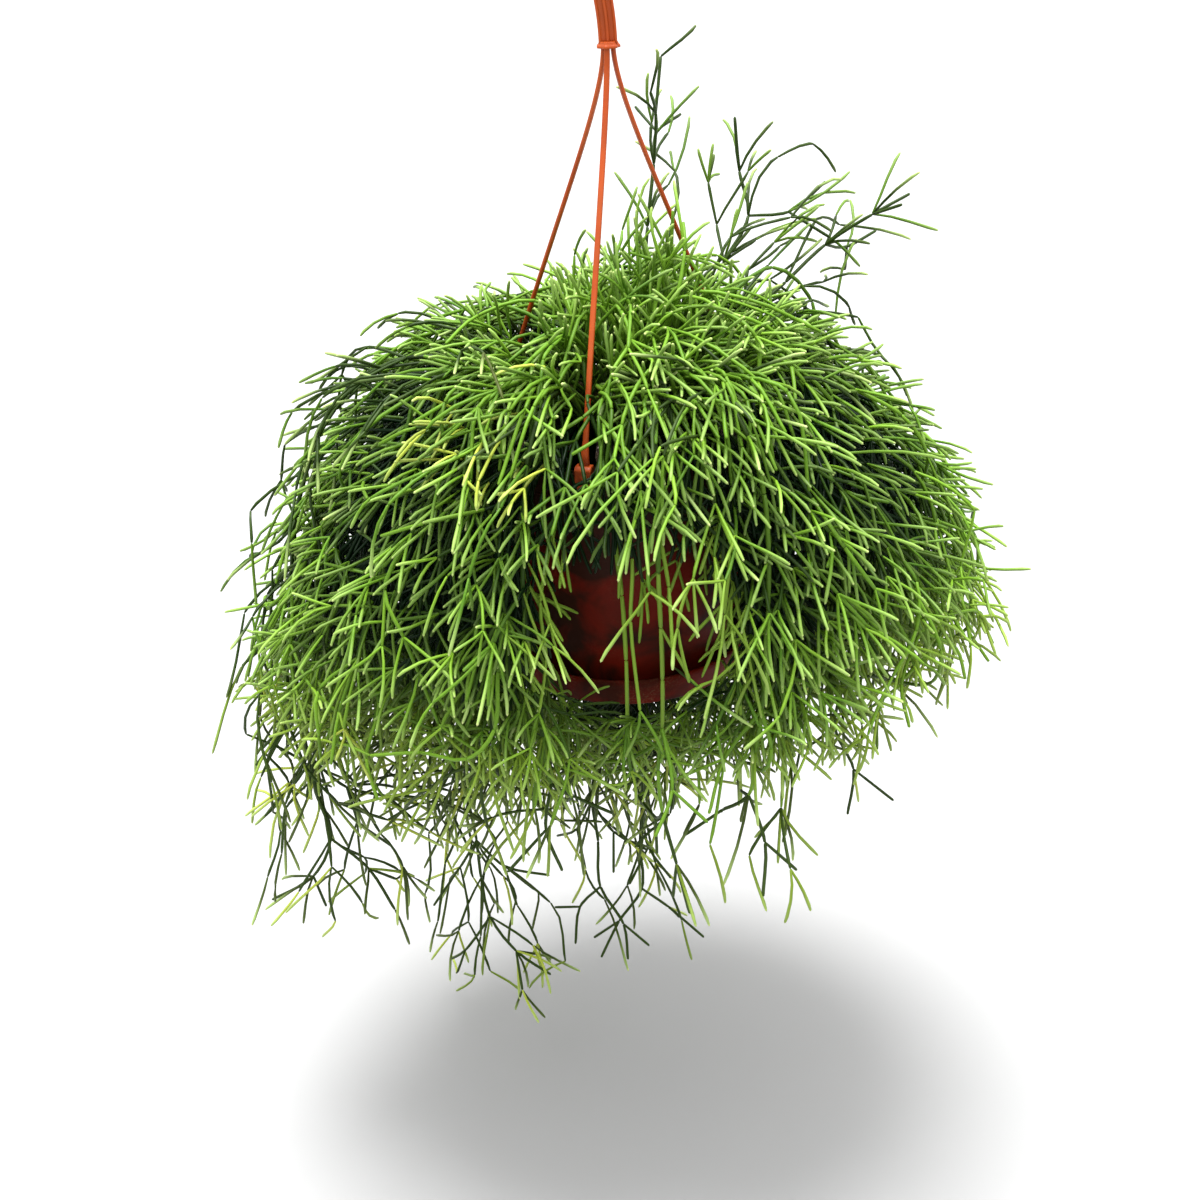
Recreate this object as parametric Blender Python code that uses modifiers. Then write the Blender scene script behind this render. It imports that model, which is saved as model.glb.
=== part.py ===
"""A rhipsalis in a plastic hanging pot: hook, strands, pot, clip-on saucer, potting soil and rooted stems.

Metres, +Z up, the front is -Y. The origin is the inside top of the hook's bend, where the hook hangs.
"""

import math

import bmesh
import bpy
import numpy as np
from mathutils import Matrix, Vector

MM = 0.001

# Hanger
HOOK_INNER_RADIUS = 12 * MM
HOOK_BAR_WIDTH = 8.4 * MM
HOOK_BAR_THICKNESS = 5 * MM
HOOK_HEIGHT = 75 * MM  # from the seat down to the collar's underside
COLLAR_HEIGHT = 9 * MM
COLLAR_RADIUS = 5.2 * MM
STRAND_RADIUS = 1.35 * MM
STRAND_DROP = 177 * MM  # from the collar's underside down to the pot's rim
STRAND_SPREAD = 2.4 * MM  # of the strands' upper ends from the axis
STRAND_AZIMUTHS = {"strand_front": -15, "strand_right": 118, "strand_left": -120}
CLIP_WIDTH = 8 * MM

# Pot and saucer
RIM_Z = -HOOK_HEIGHT - STRAND_DROP
RIM_RADIUS = 70 * MM
POT_HEIGHT = 120 * MM
BASE_RADIUS = 51 * MM
WALL = 1.7 * MM
RIM_BAND_HEIGHT = 14 * MM
BAND_INNER_RADIUS = 64.4 * MM  # of the wall just under it
DRAIN_RADIUS = 5 * MM
SOIL_BELOW_RIM = 12 * MM
SIDES = 40
GAP = 0.3 * MM

# Stems
STEMS = 35
ROOT_SPREAD = 40 * MM
GOLDEN_ANGLE = math.radians(137.508)
STEP = 27 * MM
BASE_THICKNESS = 1.5 * MM  # half the width of a stem's square section
TIP_THICKNESS = 1.05 * MM
CORNER = 1.42  # a square section's half diagonal over its half width
SEED = 11

# The bell that the plant fills, about a centre just above the rim: its radius by the angle from straight up
BELL_CENTRE = 6 * MM
CROWN_ANGLES = (0, 15, 30, 50, 70, 88)
CROWN_RADII = (76 * MM, 74 * MM, 73 * MM, 82 * MM, 109 * MM, 138 * MM)
SHOULDER = 138 * MM
CREST_WAY = (0.26, 0.1, 1)  # towards the crest, a tuft that stands up from the crown
CREST_HEIGHT = 30 * MM
CREST_WIDTH = 0.25  # in radians, from the crest's middle
LEVEL = math.radians(88)  # the angle from straight up at which the shoulder lies
SKIRT = math.radians(136)  # and at which the skirt is widest
LOWEST = math.radians(148)  # and at which the last stems end, unless the hem is higher

# How far below the rim the leafy mass ends, by azimuth in degrees
HEM_AZIMUTHS = (-180, -135, -90, -60, -35, -15, 25, 45, 60, 90, 120, 150, 180)
HEM_DEPTHS = (260, 225, 160, 136, 142, 158, 162, 136, 112, 116, 174, 230, 260)

# In front of the pot only a few separate stems hang, in a band this wide, and the pot shows between them
BAND_MIDDLE = 4 * MM
BAND_HALF_WIDTH = 50 * MM
BAND_OUT = 159 * MM  # how far out the band's upper edge comes level with the rim
BAND_SLOPE = 0.43  # how steeply that edge sinks towards the pot

# Each spray is the azimuth in degrees, then where the stem ends: out from the axis and up from the rim.
LONG_SPRAYS = (
    (-129, 118 * MM, -344 * MM),
    (-160, 66 * MM, -316 * MM),
    (178, 72 * MM, -326 * MM),
    (-90, 168 * MM, -236 * MM),
    (114, 124 * MM, -205 * MM),
)
HIGH_SPRAYS = (
    (163, 72 * MM, 110 * MM),
    (137, 98 * MM, 82 * MM),
    (126, 132 * MM, 64 * MM),
)
FRONT_SPRAYS = (
    (-21, 108 * MM, -142 * MM),
    (6, 116 * MM, -152 * MM),
    (27, 118 * MM, -150 * MM),
)

# Stems that hang close to the pot or stand in the crest, given as the sprays are
CLOSE_SWING = 60 * MM
CLOSE_STEMS = (
    (-60, 96 * MM, -158 * MM),
    (-107, 82 * MM, -200 * MM),
    (-150, 74 * MM, -232 * MM),
    (167, 72 * MM, -236 * MM),
    (132, 112 * MM, -212 * MM),
    (62, 94 * MM, -158 * MM),
    (111, 28 * MM, 102 * MM),
)

# A stem that finds no room grows again, shifted round the pot by the next of these degrees.
TURNS = (0, 4, -4, 8, -8, 12, -12, 16, -16, 0)


def material(name, colour, roughness):
    """A plain surface of one colour, none of it metal."""
    made = bpy.data.materials.new(name)
    made.use_nodes = True
    shader = made.node_tree.nodes["Principled BSDF"]
    shader.inputs["Base Color"].default_value = (*colour, 1)
    shader.inputs["Roughness"].default_value = roughness
    shader.inputs["Metallic"].default_value = 0
    return made


def collection(name):
    made = bpy.data.collections.new(name)
    bpy.context.scene.collection.children.link(made)
    return made


def add(name, mesh, surface, home):
    """An object of this mesh and material in the collection home."""
    made = bpy.data.objects.new(name, mesh)
    made.data.materials.append(surface)
    home.objects.link(made)
    return made


def turned(name, profile, surface, home):
    """Turns a profile of (radius, height) about the Z axis. Closed unless it ends on the axis."""
    mesh = bpy.data.meshes.new(name)
    count = len(profile)
    edges = [(i, i + 1) for i in range(count - 1)]
    if profile[0][0] > 0:
        edges.append((count - 1, 0))
    mesh.from_pydata([(r, 0, z) for r, z in profile], edges, [])
    made = add(name, mesh, surface, home)
    made.location.z = RIM_Z
    screw = made.modifiers.new("Turn", "SCREW")
    screw.steps = screw.render_steps = SIDES
    screw.use_merge_vertices = True
    screw.merge_threshold = 0.01 * MM
    return made


def inner_radius(depth):
    """The pot's inside radius this far below the rim, under its rim band."""
    share = (depth - RIM_BAND_HEIGHT) / (POT_HEIGHT - WALL - RIM_BAND_HEIGHT)
    return BAND_INNER_RADIUS + share * (BASE_RADIUS - WALL - BAND_INNER_RADIUS)


def pot_profile():
    floor = -POT_HEIGHT + WALL
    return [
        (RIM_RADIUS - 0.6 * MM, 0),
        (RIM_RADIUS, -0.8 * MM),
        (RIM_RADIUS, -13 * MM),
        (RIM_RADIUS - 3.8 * MM, -14.4 * MM),
        (BASE_RADIUS, -POT_HEIGHT + 1.5 * MM),
        (BASE_RADIUS - 1 * MM, -POT_HEIGHT),
        (46 * MM, -POT_HEIGHT),
        (46 * MM, -POT_HEIGHT - 2.2 * MM),
        (47.2 * MM, -POT_HEIGHT - 2.8 * MM),
        (47.2 * MM, -POT_HEIGHT - 3.8 * MM),
        (46.2 * MM, -POT_HEIGHT - 6 * MM),
        (44.4 * MM, -POT_HEIGHT - 6 * MM),
        (44.4 * MM, -POT_HEIGHT),
        (DRAIN_RADIUS, -POT_HEIGHT),
        (DRAIN_RADIUS, floor),
        (inner_radius(-floor), floor),
        (inner_radius(RIM_BAND_HEIGHT), -RIM_BAND_HEIGHT),
        (RIM_RADIUS - 2.6 * MM, -12 * MM),
        (RIM_RADIUS - 2.2 * MM, -0.6 * MM),
        (RIM_RADIUS - 1.6 * MM, 0),
    ]


def saucer_profile():
    """The floor, the ring that snaps over the pot's foot, the trough and the outer wall."""
    floor = -POT_HEIGHT - 6.3 * MM
    return [
        (0, floor),
        (47.6 * MM, floor),
        (47.6 * MM, -POT_HEIGHT - 2.3 * MM),
        (46.4 * MM, -POT_HEIGHT - 1.6 * MM),
        (46.4 * MM, -POT_HEIGHT - 0.8 * MM),
        (48.2 * MM, -POT_HEIGHT - 0.5 * MM),
        (49.4 * MM, -POT_HEIGHT - 1.2 * MM),
        (49.4 * MM, floor),
        (53 * MM, floor),
        (58.4 * MM, -POT_HEIGHT + 8 * MM),
        (59.4 * MM, -POT_HEIGHT + 8.6 * MM),
        (60.3 * MM, -POT_HEIGHT + 8 * MM),
        (60 * MM, -POT_HEIGHT + 6 * MM),
        (54.8 * MM, floor - 0.8 * MM),
        (53.6 * MM, floor - WALL),
        (0, floor - WALL),
    ]


def soil_profile():
    edge = SOIL_BELOW_RIM + 3 * MM
    bottom = POT_HEIGHT - WALL - GAP
    return [
        (0, -SOIL_BELOW_RIM),
        (50 * MM, -SOIL_BELOW_RIM),
        (inner_radius(edge) - GAP, -edge),
        (inner_radius(bottom) - GAP, -bottom),
        (0, -bottom),
    ]


def bezier(points, share):
    """The point of a cubic Bezier curve at each share of its parameter."""
    t = np.asarray(share, float)[:, None]
    a, b, c, d = (np.asarray(p, float) for p in points)
    return (1 - t) ** 3 * a + 3 * t * (1 - t) ** 2 * b + 3 * t**2 * (1 - t) * c + t**3 * d


def outward(azimuth):
    """The level direction at this azimuth: 0 is the front, and it grows towards +X."""
    return np.array([math.sin(azimuth), -math.cos(azimuth), 0])


def meshed(obj, home):
    """The same shape as a welded mesh object, in the place of a curve object."""
    graph = bpy.context.evaluated_depsgraph_get()
    mesh = bpy.data.meshes.new_from_object(obj.evaluated_get(graph))
    work = bmesh.new()
    work.from_mesh(mesh)
    bmesh.ops.remove_doubles(work, verts=work.verts, dist=0.001 * MM)
    work.to_mesh(mesh)
    work.free()
    mesh.transform(obj.matrix_world)
    name = obj.name
    bpy.data.objects.remove(obj)
    made = bpy.data.objects.new(name, mesh)
    home.objects.link(made)
    return made


def poly_curve(name, points, home, flat=False):
    """A curve through these points: a closed outline in its own XY plane if flat, and an open path if not."""
    curve = bpy.data.curves.new(name, "CURVE")
    curve.dimensions = "2D" if flat else "3D"
    spline = curve.splines.new("POLY")
    spline.points.add(len(points) - 1)
    for place, point in zip(spline.points, points):
        place.co = (*point, 1)
    spline.use_cyclic_u = flat
    made = bpy.data.objects.new(name, curve)
    home.objects.link(made)
    return made


def slab(name, outline, thickness, home):
    """An outline of (across, up) as a flat solid of this thickness, centred on the XZ plane."""
    made = poly_curve(name, [(x, z, 0) for x, z in outline], home, flat=True)
    made.data.fill_mode = "BOTH"
    made.data.extrude = thickness / 2
    made.rotation_euler.x = math.pi / 2
    bpy.context.view_layer.update()
    return meshed(made, home)


def join(body, other, cutters):
    """Adds other to body with a Boolean union, and keeps it as a guide."""
    for owner in list(other.users_collection):
        owner.objects.unlink(other)
    cutters.objects.link(other)
    other.hide_render = True
    other.display_type = "WIRE"
    union = body.modifiers.new("Union", "BOOLEAN")
    union.operation = "UNION"
    union.solver = "EXACT"
    union.object = other


def hook_line():
    """The hook's middle line in its plane: up the shank, over the bend and down to the open end."""
    radius = HOOK_INNER_RADIUS + HOOK_BAR_WIDTH / 2
    centre = np.array([0.5 * MM, -HOOK_INNER_RADIUS])
    turn = np.radians(np.linspace(212, -12, 17))
    bend = centre + radius * np.stack([np.cos(turn), np.sin(turn)], 1)
    foot = np.array([0, -HOOK_HEIGHT + COLLAR_HEIGHT / 2])
    tangent = np.array([math.sin(turn[0]), -math.cos(turn[0])])
    shank = bezier((foot, foot + (0, 27 * MM), bend[0] - 11 * MM * tangent, bend[0]), np.linspace(0, 1, 8))
    return np.vstack([shank[:-1], bend])


def hook_outline():
    """Both sides of the hook's bar, with a round end."""
    line = hook_line()
    along = np.gradient(line, axis=0)
    along /= np.linalg.norm(along, axis=1)[:, None]
    side = np.stack([-along[:, 1], along[:, 0]], 1) * HOOK_BAR_WIDTH / 2
    turn = np.radians(np.linspace(60, -60, 4))
    end = line[-1] + np.outer(np.sin(turn), side[-1])
    end += np.outer(np.cos(turn), along[-1]) * HOOK_BAR_WIDTH / 2
    return np.vstack([line + side, end, (line - side)[::-1]])


def build_hook(surface, home, cutters):
    hook = slab("hook", hook_outline(), HOOK_BAR_THICKNESS, home)
    hook.data.materials.append(surface)
    collar_mesh = bpy.data.meshes.new("collar")
    work = bmesh.new()
    bmesh.ops.create_cone(
        work,
        cap_ends=True,
        segments=16,
        radius1=COLLAR_RADIUS,
        radius2=COLLAR_RADIUS * 0.88,
        depth=COLLAR_HEIGHT,
    )
    work.to_mesh(collar_mesh)
    work.free()
    collar = bpy.data.objects.new("collar", collar_mesh)
    cutters.objects.link(collar)
    collar.location.z = -HOOK_HEIGHT + COLLAR_HEIGHT / 2
    join(hook, collar, cutters)


def strand_line(azimuth, count=13):
    """A strand's middle line: straight down out of the collar, then outwards to its clip on the rim."""
    top = outward(azimuth) * STRAND_SPREAD + (0, 0, RIM_Z + STRAND_DROP - GAP)
    foot = outward(azimuth) * (RIM_RADIUS - 1.1 * MM) + (0, 0, RIM_Z + 1.9 * MM)
    lean = outward(azimuth) * 34 * MM + (0, 0, RIM_Z + 96 * MM)
    return bezier((top, top - (0, 0, 26 * MM), lean, foot), np.linspace(0, 1, count))


def clip_outline():
    """The saddle that grips the rim, as seen along the rim: out from the axis and up from the rim."""
    inner = RIM_RADIUS - 4.8 * MM
    outer = RIM_RADIUS + 2.4 * MM
    return [
        (outer, 2.6 * MM),
        (outer, -9 * MM),
        (RIM_RADIUS + 0.5 * MM, -9 * MM),
        (RIM_RADIUS + 0.5 * MM, 0.35 * MM),
        (RIM_RADIUS - 3 * MM, 0.35 * MM),
        (RIM_RADIUS - 3 * MM, -7 * MM),
        (inner, -7 * MM),
        (inner, 2.6 * MM),
        (RIM_RADIUS - 3.2 * MM, 4 * MM),
        (RIM_RADIUS + 0.8 * MM, 4 * MM),
    ]


def build_strand(name, azimuth, surface, home, cutters):
    path = poly_curve(name, strand_line(azimuth), home)
    path.data.bevel_depth = STRAND_RADIUS
    path.data.bevel_resolution = 2
    path.data.use_fill_caps = True
    bpy.context.view_layer.update()
    strand = meshed(path, home)
    strand.data.materials.append(surface)
    clip = slab(name + "_clip", clip_outline(), CLIP_WIDTH, home)
    clip.rotation_euler.z = azimuth - math.pi / 2
    clip.location.z = RIM_Z
    join(strand, clip, cutters)


def envelope(azimuth, latitude):
    """The plant's outer surface around the pot's axis, as (out from the axis, up from the rim).

    The latitude is the angle from straight up. The plant is a bell: its crown is low, it is widest below the
    rim, the back hangs lowest, and the front is short so that the pot shows.
    """
    front = max(0.0, math.cos(azimuth))
    right = max(0.0, math.sin(azimuth))
    left = max(0.0, -math.sin(azimuth))
    hang = (290 - 108 * front**1.3 - 22 * right) * MM
    skirt = min(1.0, max(0.0, (latitude - LEVEL) / (SKIRT - LEVEL)))
    radius = np.interp(math.degrees(latitude), CROWN_ANGLES, CROWN_RADII)
    radius += (hang - SHOULDER) * skirt ** (1.2 + 0.25 * left)
    way = outward(azimuth) * math.sin(latitude) + (0, 0, math.cos(latitude))
    aside = math.acos(min(1.0, way @ unit(np.array(CREST_WAY))))
    radius += CREST_HEIGHT * math.exp(-((aside / CREST_WIDTH) ** 2))
    return radius * math.sin(latitude), radius * math.cos(latitude) + BELL_CENTRE


def hem(azimuth):
    """The height, from the rim, at which the leafy mass ends."""
    around = (math.degrees(azimuth) + 180) % 360 - 180
    return -np.interp(around, HEM_AZIMUTHS, HEM_DEPTHS) * MM


def in_space(azimuth, flat):
    """A point given as (out from the axis, up from the rim) at this azimuth."""
    return outward(azimuth) * flat[0] + (0, 0, RIM_Z + flat[1])


def last_latitude(azimuth, share):
    """How far down the envelope a stem ends, not below the hem. Stems rooted further out end lower."""
    latitude = math.acos(1 - (1 - math.cos(LOWEST)) * share**1.2)
    while envelope(azimuth, latitude)[1] < hem(azimuth):
        latitude -= math.radians(1)
    return latitude


def stem_course(number, turn):
    """The four Bezier points of a stem's main axis, from its root in the soil to its end.

    The turn, in degrees, shifts it round the pot.
    """
    share = math.sqrt((number + 0.5) / STEMS)
    azimuth = number * GOLDEN_ANGLE + math.radians(turn)
    root = outward(azimuth) * ROOT_SPREAD * share + (0, 0, RIM_Z - SOIL_BELOW_RIM + 6 * MM)
    latitude = last_latitude(azimuth, share)
    end = in_space(azimuth, envelope(azimuth, latitude))
    shoulder_out, shoulder_up = envelope(azimuth, max(0.25, latitude - 0.8))
    shoulder = in_space(azimuth, (shoulder_out, shoulder_up))
    rise = root + outward(azimuth) * 5 * MM + (0, 0, (34 + 26 * (1 - share)) * MM)
    return root, rise, shoulder, end


def spray_course(azimuth, out, up, swing=101 * MM):
    """The four Bezier points of a stem that ends at a stated place. A wide swing makes it arch far out."""
    azimuth = math.radians(azimuth)
    root = outward(azimuth + 0.06) * 46 * MM + (0, 0, RIM_Z - SOIL_BELOW_RIM + 6 * MM)
    if up < 0:
        rise = root + (0, 0, 66 * MM)
        shoulder = in_space(azimuth, (0.65 * out + swing, 96 * MM))
    else:
        rise = root + (0, 0, up * 0.45)
        shoulder = in_space(azimuth, (out * 0.75, up * 0.7))
    return root, rise, shoulder, in_space(azimuth, (out, up))


def even_steps(course, step):
    """Points at even distances along a course."""
    fine = bezier(course, np.linspace(0, 1, 120))
    length = np.concatenate([[0], np.cumsum(np.linalg.norm(np.diff(fine, axis=0), axis=1))])
    count = max(3, round(length[-1] / step) + 1)
    wanted = np.linspace(0, length[-1], count)
    return np.stack([np.interp(wanted, length, fine[:, i]) for i in range(3)], 1)


def distances(a, b, starts, ends):
    """The shortest distance from the stretch a to b to each of many stretches."""
    u = b - a
    v = ends - starts
    w = a - starts
    uu, uv, vv = u @ u, v @ u, np.einsum("ij,ij->i", v, v)
    uw, vw = w @ u, np.einsum("ij,ij->i", v, w)
    bottom = np.maximum(uu * vv - uv * uv, 1e-18)
    s = np.clip((uv * vw - vv * uw) / bottom, 0, 1)
    t = np.clip((uv * s + vw) / vv, 0, 1)
    s = np.clip((uv * t - uw) / uu, 0, 1)
    return np.linalg.norm(w + s[:, None] * u - t[:, None] * v, axis=1)


class Thicket:
    """All the stretches grown so far, so that each new one keeps clear of them, the pot and the hanger."""

    def __init__(self):
        self.starts, self.ends, self.widths = [], [], []
        for azimuth in STRAND_AZIMUTHS.values():
            line = strand_line(math.radians(azimuth))
            for a, b in zip(line[:-1], line[1:]):
                self.add(a, b, STRAND_RADIUS / CORNER + 0.2 * MM)
            foot = line[-1]
            self.add(foot - (0, 0, 9 * MM), foot, 6 * MM)

    def add(self, a, b, width):
        self.starts.append(a)
        self.ends.append(b)
        self.widths.append(width)

    def cut_back(self, count):
        """Forgets all but the first count stretches."""
        for kept in (self.starts, self.ends, self.widths):
            del kept[count:]

    def near_pot(self, points):
        """True if a point lies in the pot, its wall, its saucer or the clear ring above the soil."""
        out = np.hypot(points[:, 0], points[:, 1])
        up = points[:, 2] - RIM_Z
        over_soil = (out < ROOT_SPREAD + 12 * MM) & (up > -SOIL_BELOW_RIM + 2 * MM)
        over_rim = up > 5 * MM
        taper = RIM_RADIUS + 5 * MM - 4 * MM * np.clip((-up - 16 * MM) / (20 * MM), 0, 1)
        outside = (out > taper) | (up < -POT_HEIGHT - 14 * MM)
        return not np.all(over_soil | over_rim | outside)

    def free(self, a, b, width, joint):
        """True if the stretch a to b is clear of all stretches that don't start or end at the point joint."""
        share = np.linspace(0, 1, 7)[:, None]
        if self.near_pot(a + share * (b - a)):
            return False
        starts, ends = np.array(self.starts), np.array(self.ends)
        room = CORNER * (np.array(self.widths) + width) + 0.7 * MM
        close = distances(a, b, starts, ends) < room
        close &= np.linalg.norm(starts - joint, axis=1) > 0.01 * MM
        close &= np.linalg.norm(ends - joint, axis=1) > 0.01 * MM
        return not close.any()


def unit(vector):
    return vector / np.linalg.norm(vector)


def carried(axes, direction):
    """The two cross axes of a stretch, turned as little as can be to stand square to its direction."""
    first = unit(axes[0] - (axes[0] @ direction) * direction)
    second = np.cross(direction, first)
    return first, second if second @ axes[1] > 0 else -second


class Stem:
    """A stem's skeleton.

    Each knot has its place, its half width, the direction that it grew in and its two cross axes. Each
    stretch joins two knots and leaves the first one straight ahead (side 0) or by one of its four sides
    (1 to 4).
    """

    def __init__(self, place, width):
        axes = (np.array([1.0, 0, 0]), np.array([0, 1.0, 0]))
        self.knots = [(place, width, np.array([0, 0, 1.0]), axes)]
        self.stretches = []

    def outward_side(self, knot, side):
        """The way that one of the four sides of this knot faces."""
        axes = self.knots[knot][3]
        return axes[(side - 1) % 2] * (1 if side < 3 else -1)

    def extend(self, knot, side, place, width):
        here, _, direction, axes = self.knots[knot]
        ahead = unit(place - here)
        if side:
            facing = self.outward_side(knot, side)
            axes = (direction, np.cross(direction, facing))
        self.knots.append((place, width, ahead, carried(axes, ahead)))
        self.stretches.append((knot, side, len(self.knots) - 1))
        return len(self.knots) - 1

    def sides_used(self, knot):
        return {side for start, side, _ in self.stretches if start == knot}


def grow_axis(thicket, course, random):
    """A stem's main axis, stopped where it finds no room. Returns it and whether it reached its end."""
    line = even_steps(course, STEP)
    root = line[0] - (0, 0, 6 * MM - GAP)
    stem = Stem(root, BASE_THICKNESS)
    last = stem.extend(0, 0, line[0], BASE_THICKNESS)
    thicket.add(root, line[0], BASE_THICKNESS)
    for step, wanted in enumerate(line[1:], 1):
        width = BASE_THICKNESS + (TIP_THICKNESS - BASE_THICKNESS) * step / (len(line) - 1)
        here, _, before, _ = stem.knots[last]
        for attempt in range(60):
            sway = random.normal(size=3) * (0.6 + 0.3 * attempt) * MM
            there = here + unit(wanted + sway - here) * min(STEP * 1.15, np.linalg.norm(wanted - here))
            if unit(there - here) @ before > 0.45 and thicket.free(here, there, width, here):
                break
        else:
            return stem, False
        last = stem.extend(last, 0, there, width)
        thicket.add(here, there, width)
    return stem, True


def grow_stem(thicket, courses, random):
    """A stem's main axis along the first of these courses that it can follow to the end, or else the last."""
    count = len(thicket.starts)
    for course in courses:
        thicket.cut_back(count)
        stem, complete = grow_axis(thicket, course, random)
        if complete:
            break
    return stem


def grow_side(thicket, stem, knot, side, angle, length, reach, random):
    """A stretch that leaves a knot by one side, if there is room for it. Returns its end."""
    here, _, direction, _ = stem.knots[knot]
    facing = stem.outward_side(knot, side)
    for _ in range(10):
        lean = angle + random.uniform(-0.12, 0.12)
        across = np.cross(direction, facing) * random.uniform(-0.3, 0.3)
        heading = unit(direction * math.cos(lean) + (facing + across) * math.sin(lean) - (0, 0, 0.08))
        there = here + heading * length * random.uniform(0.8, 1.1)
        if heading @ facing < 0.4 or past_envelope(there, reach) or hides_pot(there):
            continue
        if thicket.free(here, there, TIP_THICKNESS, here):
            thicket.add(here, there, TIP_THICKNESS)
            return stem.extend(knot, side, there, TIP_THICKNESS)
    return None


def grow_sides(thicket, stem, knots, levels, reach, random):
    """Side branches on these knots, and forks on their ends, as many levels deep as given."""
    for knot in knots:
        for side in (1, 3) if random.random() < 0.5 else (2, 4):
            angle = math.radians(42 if levels > 1 else 34)
            new = grow_side(thicket, stem, knot, side, angle, STEP, reach, random)
            if new is not None and levels > 1:
                grow_sides(thicket, stem, [new], levels - 1, reach, random)


def past_envelope(place, reach):
    """True if a point lies further out than the envelope's share reach, or hangs much below the hem."""
    azimuth = math.atan2(place[0], -place[1])
    out, up = np.hypot(place[0], place[1]), place[2] - RIM_Z - BELL_CENTRE
    latitude = min(math.atan2(out, up), LOWEST)
    edge_out, edge_up = envelope(azimuth, latitude)
    too_low = up < hem(azimuth) - 20 * MM * reach
    return too_low or np.hypot(out, up) > np.hypot(edge_out, edge_up - BELL_CENTRE) * reach


def hides_pot(place):
    """True in the band in front of the pot."""
    out, up = np.hypot(place[0], place[1]), place[2] - RIM_Z
    top = -BAND_SLOPE * (BAND_OUT - out)
    return abs(place[0] - BAND_MIDDLE) < BAND_HALF_WIDTH and place[1] < 0 and -POT_HEIGHT < up < top


def grow_plant():
    """Every stem's skeleton. Main axes come first, so that no side branch bars their way."""
    random = np.random.default_rng(SEED)
    thicket = Thicket()
    courses = [spray_course(*spray) for spray in LONG_SPRAYS + HIGH_SPRAYS + FRONT_SPRAYS]
    sprays = [grow_axis(thicket, course, random)[0] for course in courses]
    places = [[(azimuth + turn, out, up) for turn in TURNS] for azimuth, out, up in CLOSE_STEMS]
    courses = [[spray_course(*place, swing=CLOSE_SWING) for place in shifted] for shifted in places]
    courses += [[stem_course(number, turn) for turn in TURNS] for number in range(STEMS)]
    stems = [grow_stem(thicket, shifted, random) for shifted in courses]
    for spray in sprays:
        last = len(spray.knots) - 1
        grow_sides(thicket, spray, range(last, max(3, last - 6), -2), 2, 9, random)
    for number, stem in enumerate(stems):
        last = len(stem.knots) - 1
        levels = 2 if number < len(CLOSE_STEMS) else 3
        grow_sides(thicket, stem, [*range(last, 3, -2), *range(last - 1, 3, -2)], levels, 1.0, random)
    return stems + sprays


def pushed_out(work, face, axes, centre, width, new_axes):
    """Extrudes a square face to a new square about centre. Each corner keeps its side of both axes."""
    new = bmesh.ops.extrude_discrete_faces(work, faces=[face])["faces"][0]
    middle = np.mean([tuple(vertex.co) for vertex in new.verts], axis=0)
    for vertex in new.verts:
        offset = np.array(vertex.co) - middle
        signs = [math.copysign(width, offset @ axis) for axis in axes]
        vertex.co = centre + signs[0] * new_axes[0] + signs[1] * new_axes[1]
    return new


def build_stem(name, stem, surface, home):
    """Extrudes a square along the skeleton. A knot that branches is a short block, which carries them."""
    work = bmesh.new()
    place, width, _, axes = stem.knots[0]
    block = Matrix.LocRotScale(Vector(place), None, Vector((2 * width, 2 * width, 2 * width)))
    bmesh.ops.create_cube(work, size=1, matrix=block @ Matrix.Translation((0, 0, 0.5)))
    top = max(work.faces, key=lambda face: face.calc_center_median().z)
    ends = {0: {0: (top, axes)}}
    for start, side, end in stem.stretches:
        face, from_axes = ends[start][side]
        place, width, direction, axes = stem.knots[end]
        front = pushed_out(work, face, from_axes, place - direction * width, width, axes)
        ends[end] = {0: (front, axes)}
        if stem.sides_used(end) - {0}:
            front = pushed_out(work, front, axes, place + direction * width, width, axes)
            ends[end][0] = (front, axes)
            for edge in front.edges:
                flank = next(other for other in edge.link_faces if other != front)
                facing = np.array(flank.calc_center_median()) - place
                side = max(range(1, 5), key=lambda n: facing @ stem.outward_side(end, n))
                cross = np.cross(direction, stem.outward_side(end, side))
                ends[end][side] = (flank, (direction, cross))
    mesh = bpy.data.meshes.new(name)
    work.to_mesh(mesh)
    work.free()
    add(name, mesh, surface, home)


def main():
    for old in list(bpy.data.objects):
        bpy.data.objects.remove(old)
    home = collection("potted_rhipsalis")
    cutters = collection("cutters")
    hanger = material("hanger_plastic", (0.62, 0.14, 0.05), 0.35)
    terracotta = material("pot_plastic", (0.33, 0.07, 0.035), 0.42)
    soil = material("potting_soil", (0.045, 0.03, 0.02), 0.95)
    green = material("stem_skin", (0.12, 0.32, 0.05), 0.45)

    build_hook(hanger, home, cutters)
    for name, azimuth in STRAND_AZIMUTHS.items():
        build_strand(name, math.radians(azimuth), hanger, home, cutters)
    turned("pot", pot_profile(), terracotta, home)
    turned("saucer", saucer_profile(), terracotta, home)
    turned("soil", soil_profile(), soil, home)
    for number, stem in enumerate(grow_plant(), 1):
        build_stem(f"stem_{number:02d}", stem, green, home)


main()
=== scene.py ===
"""The looks of a rhipsalis in a plastic hanging pot. Metres, +Z up, the front is -Y."""

import math

import bpy
import numpy as np
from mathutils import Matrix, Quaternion, Vector


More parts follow.
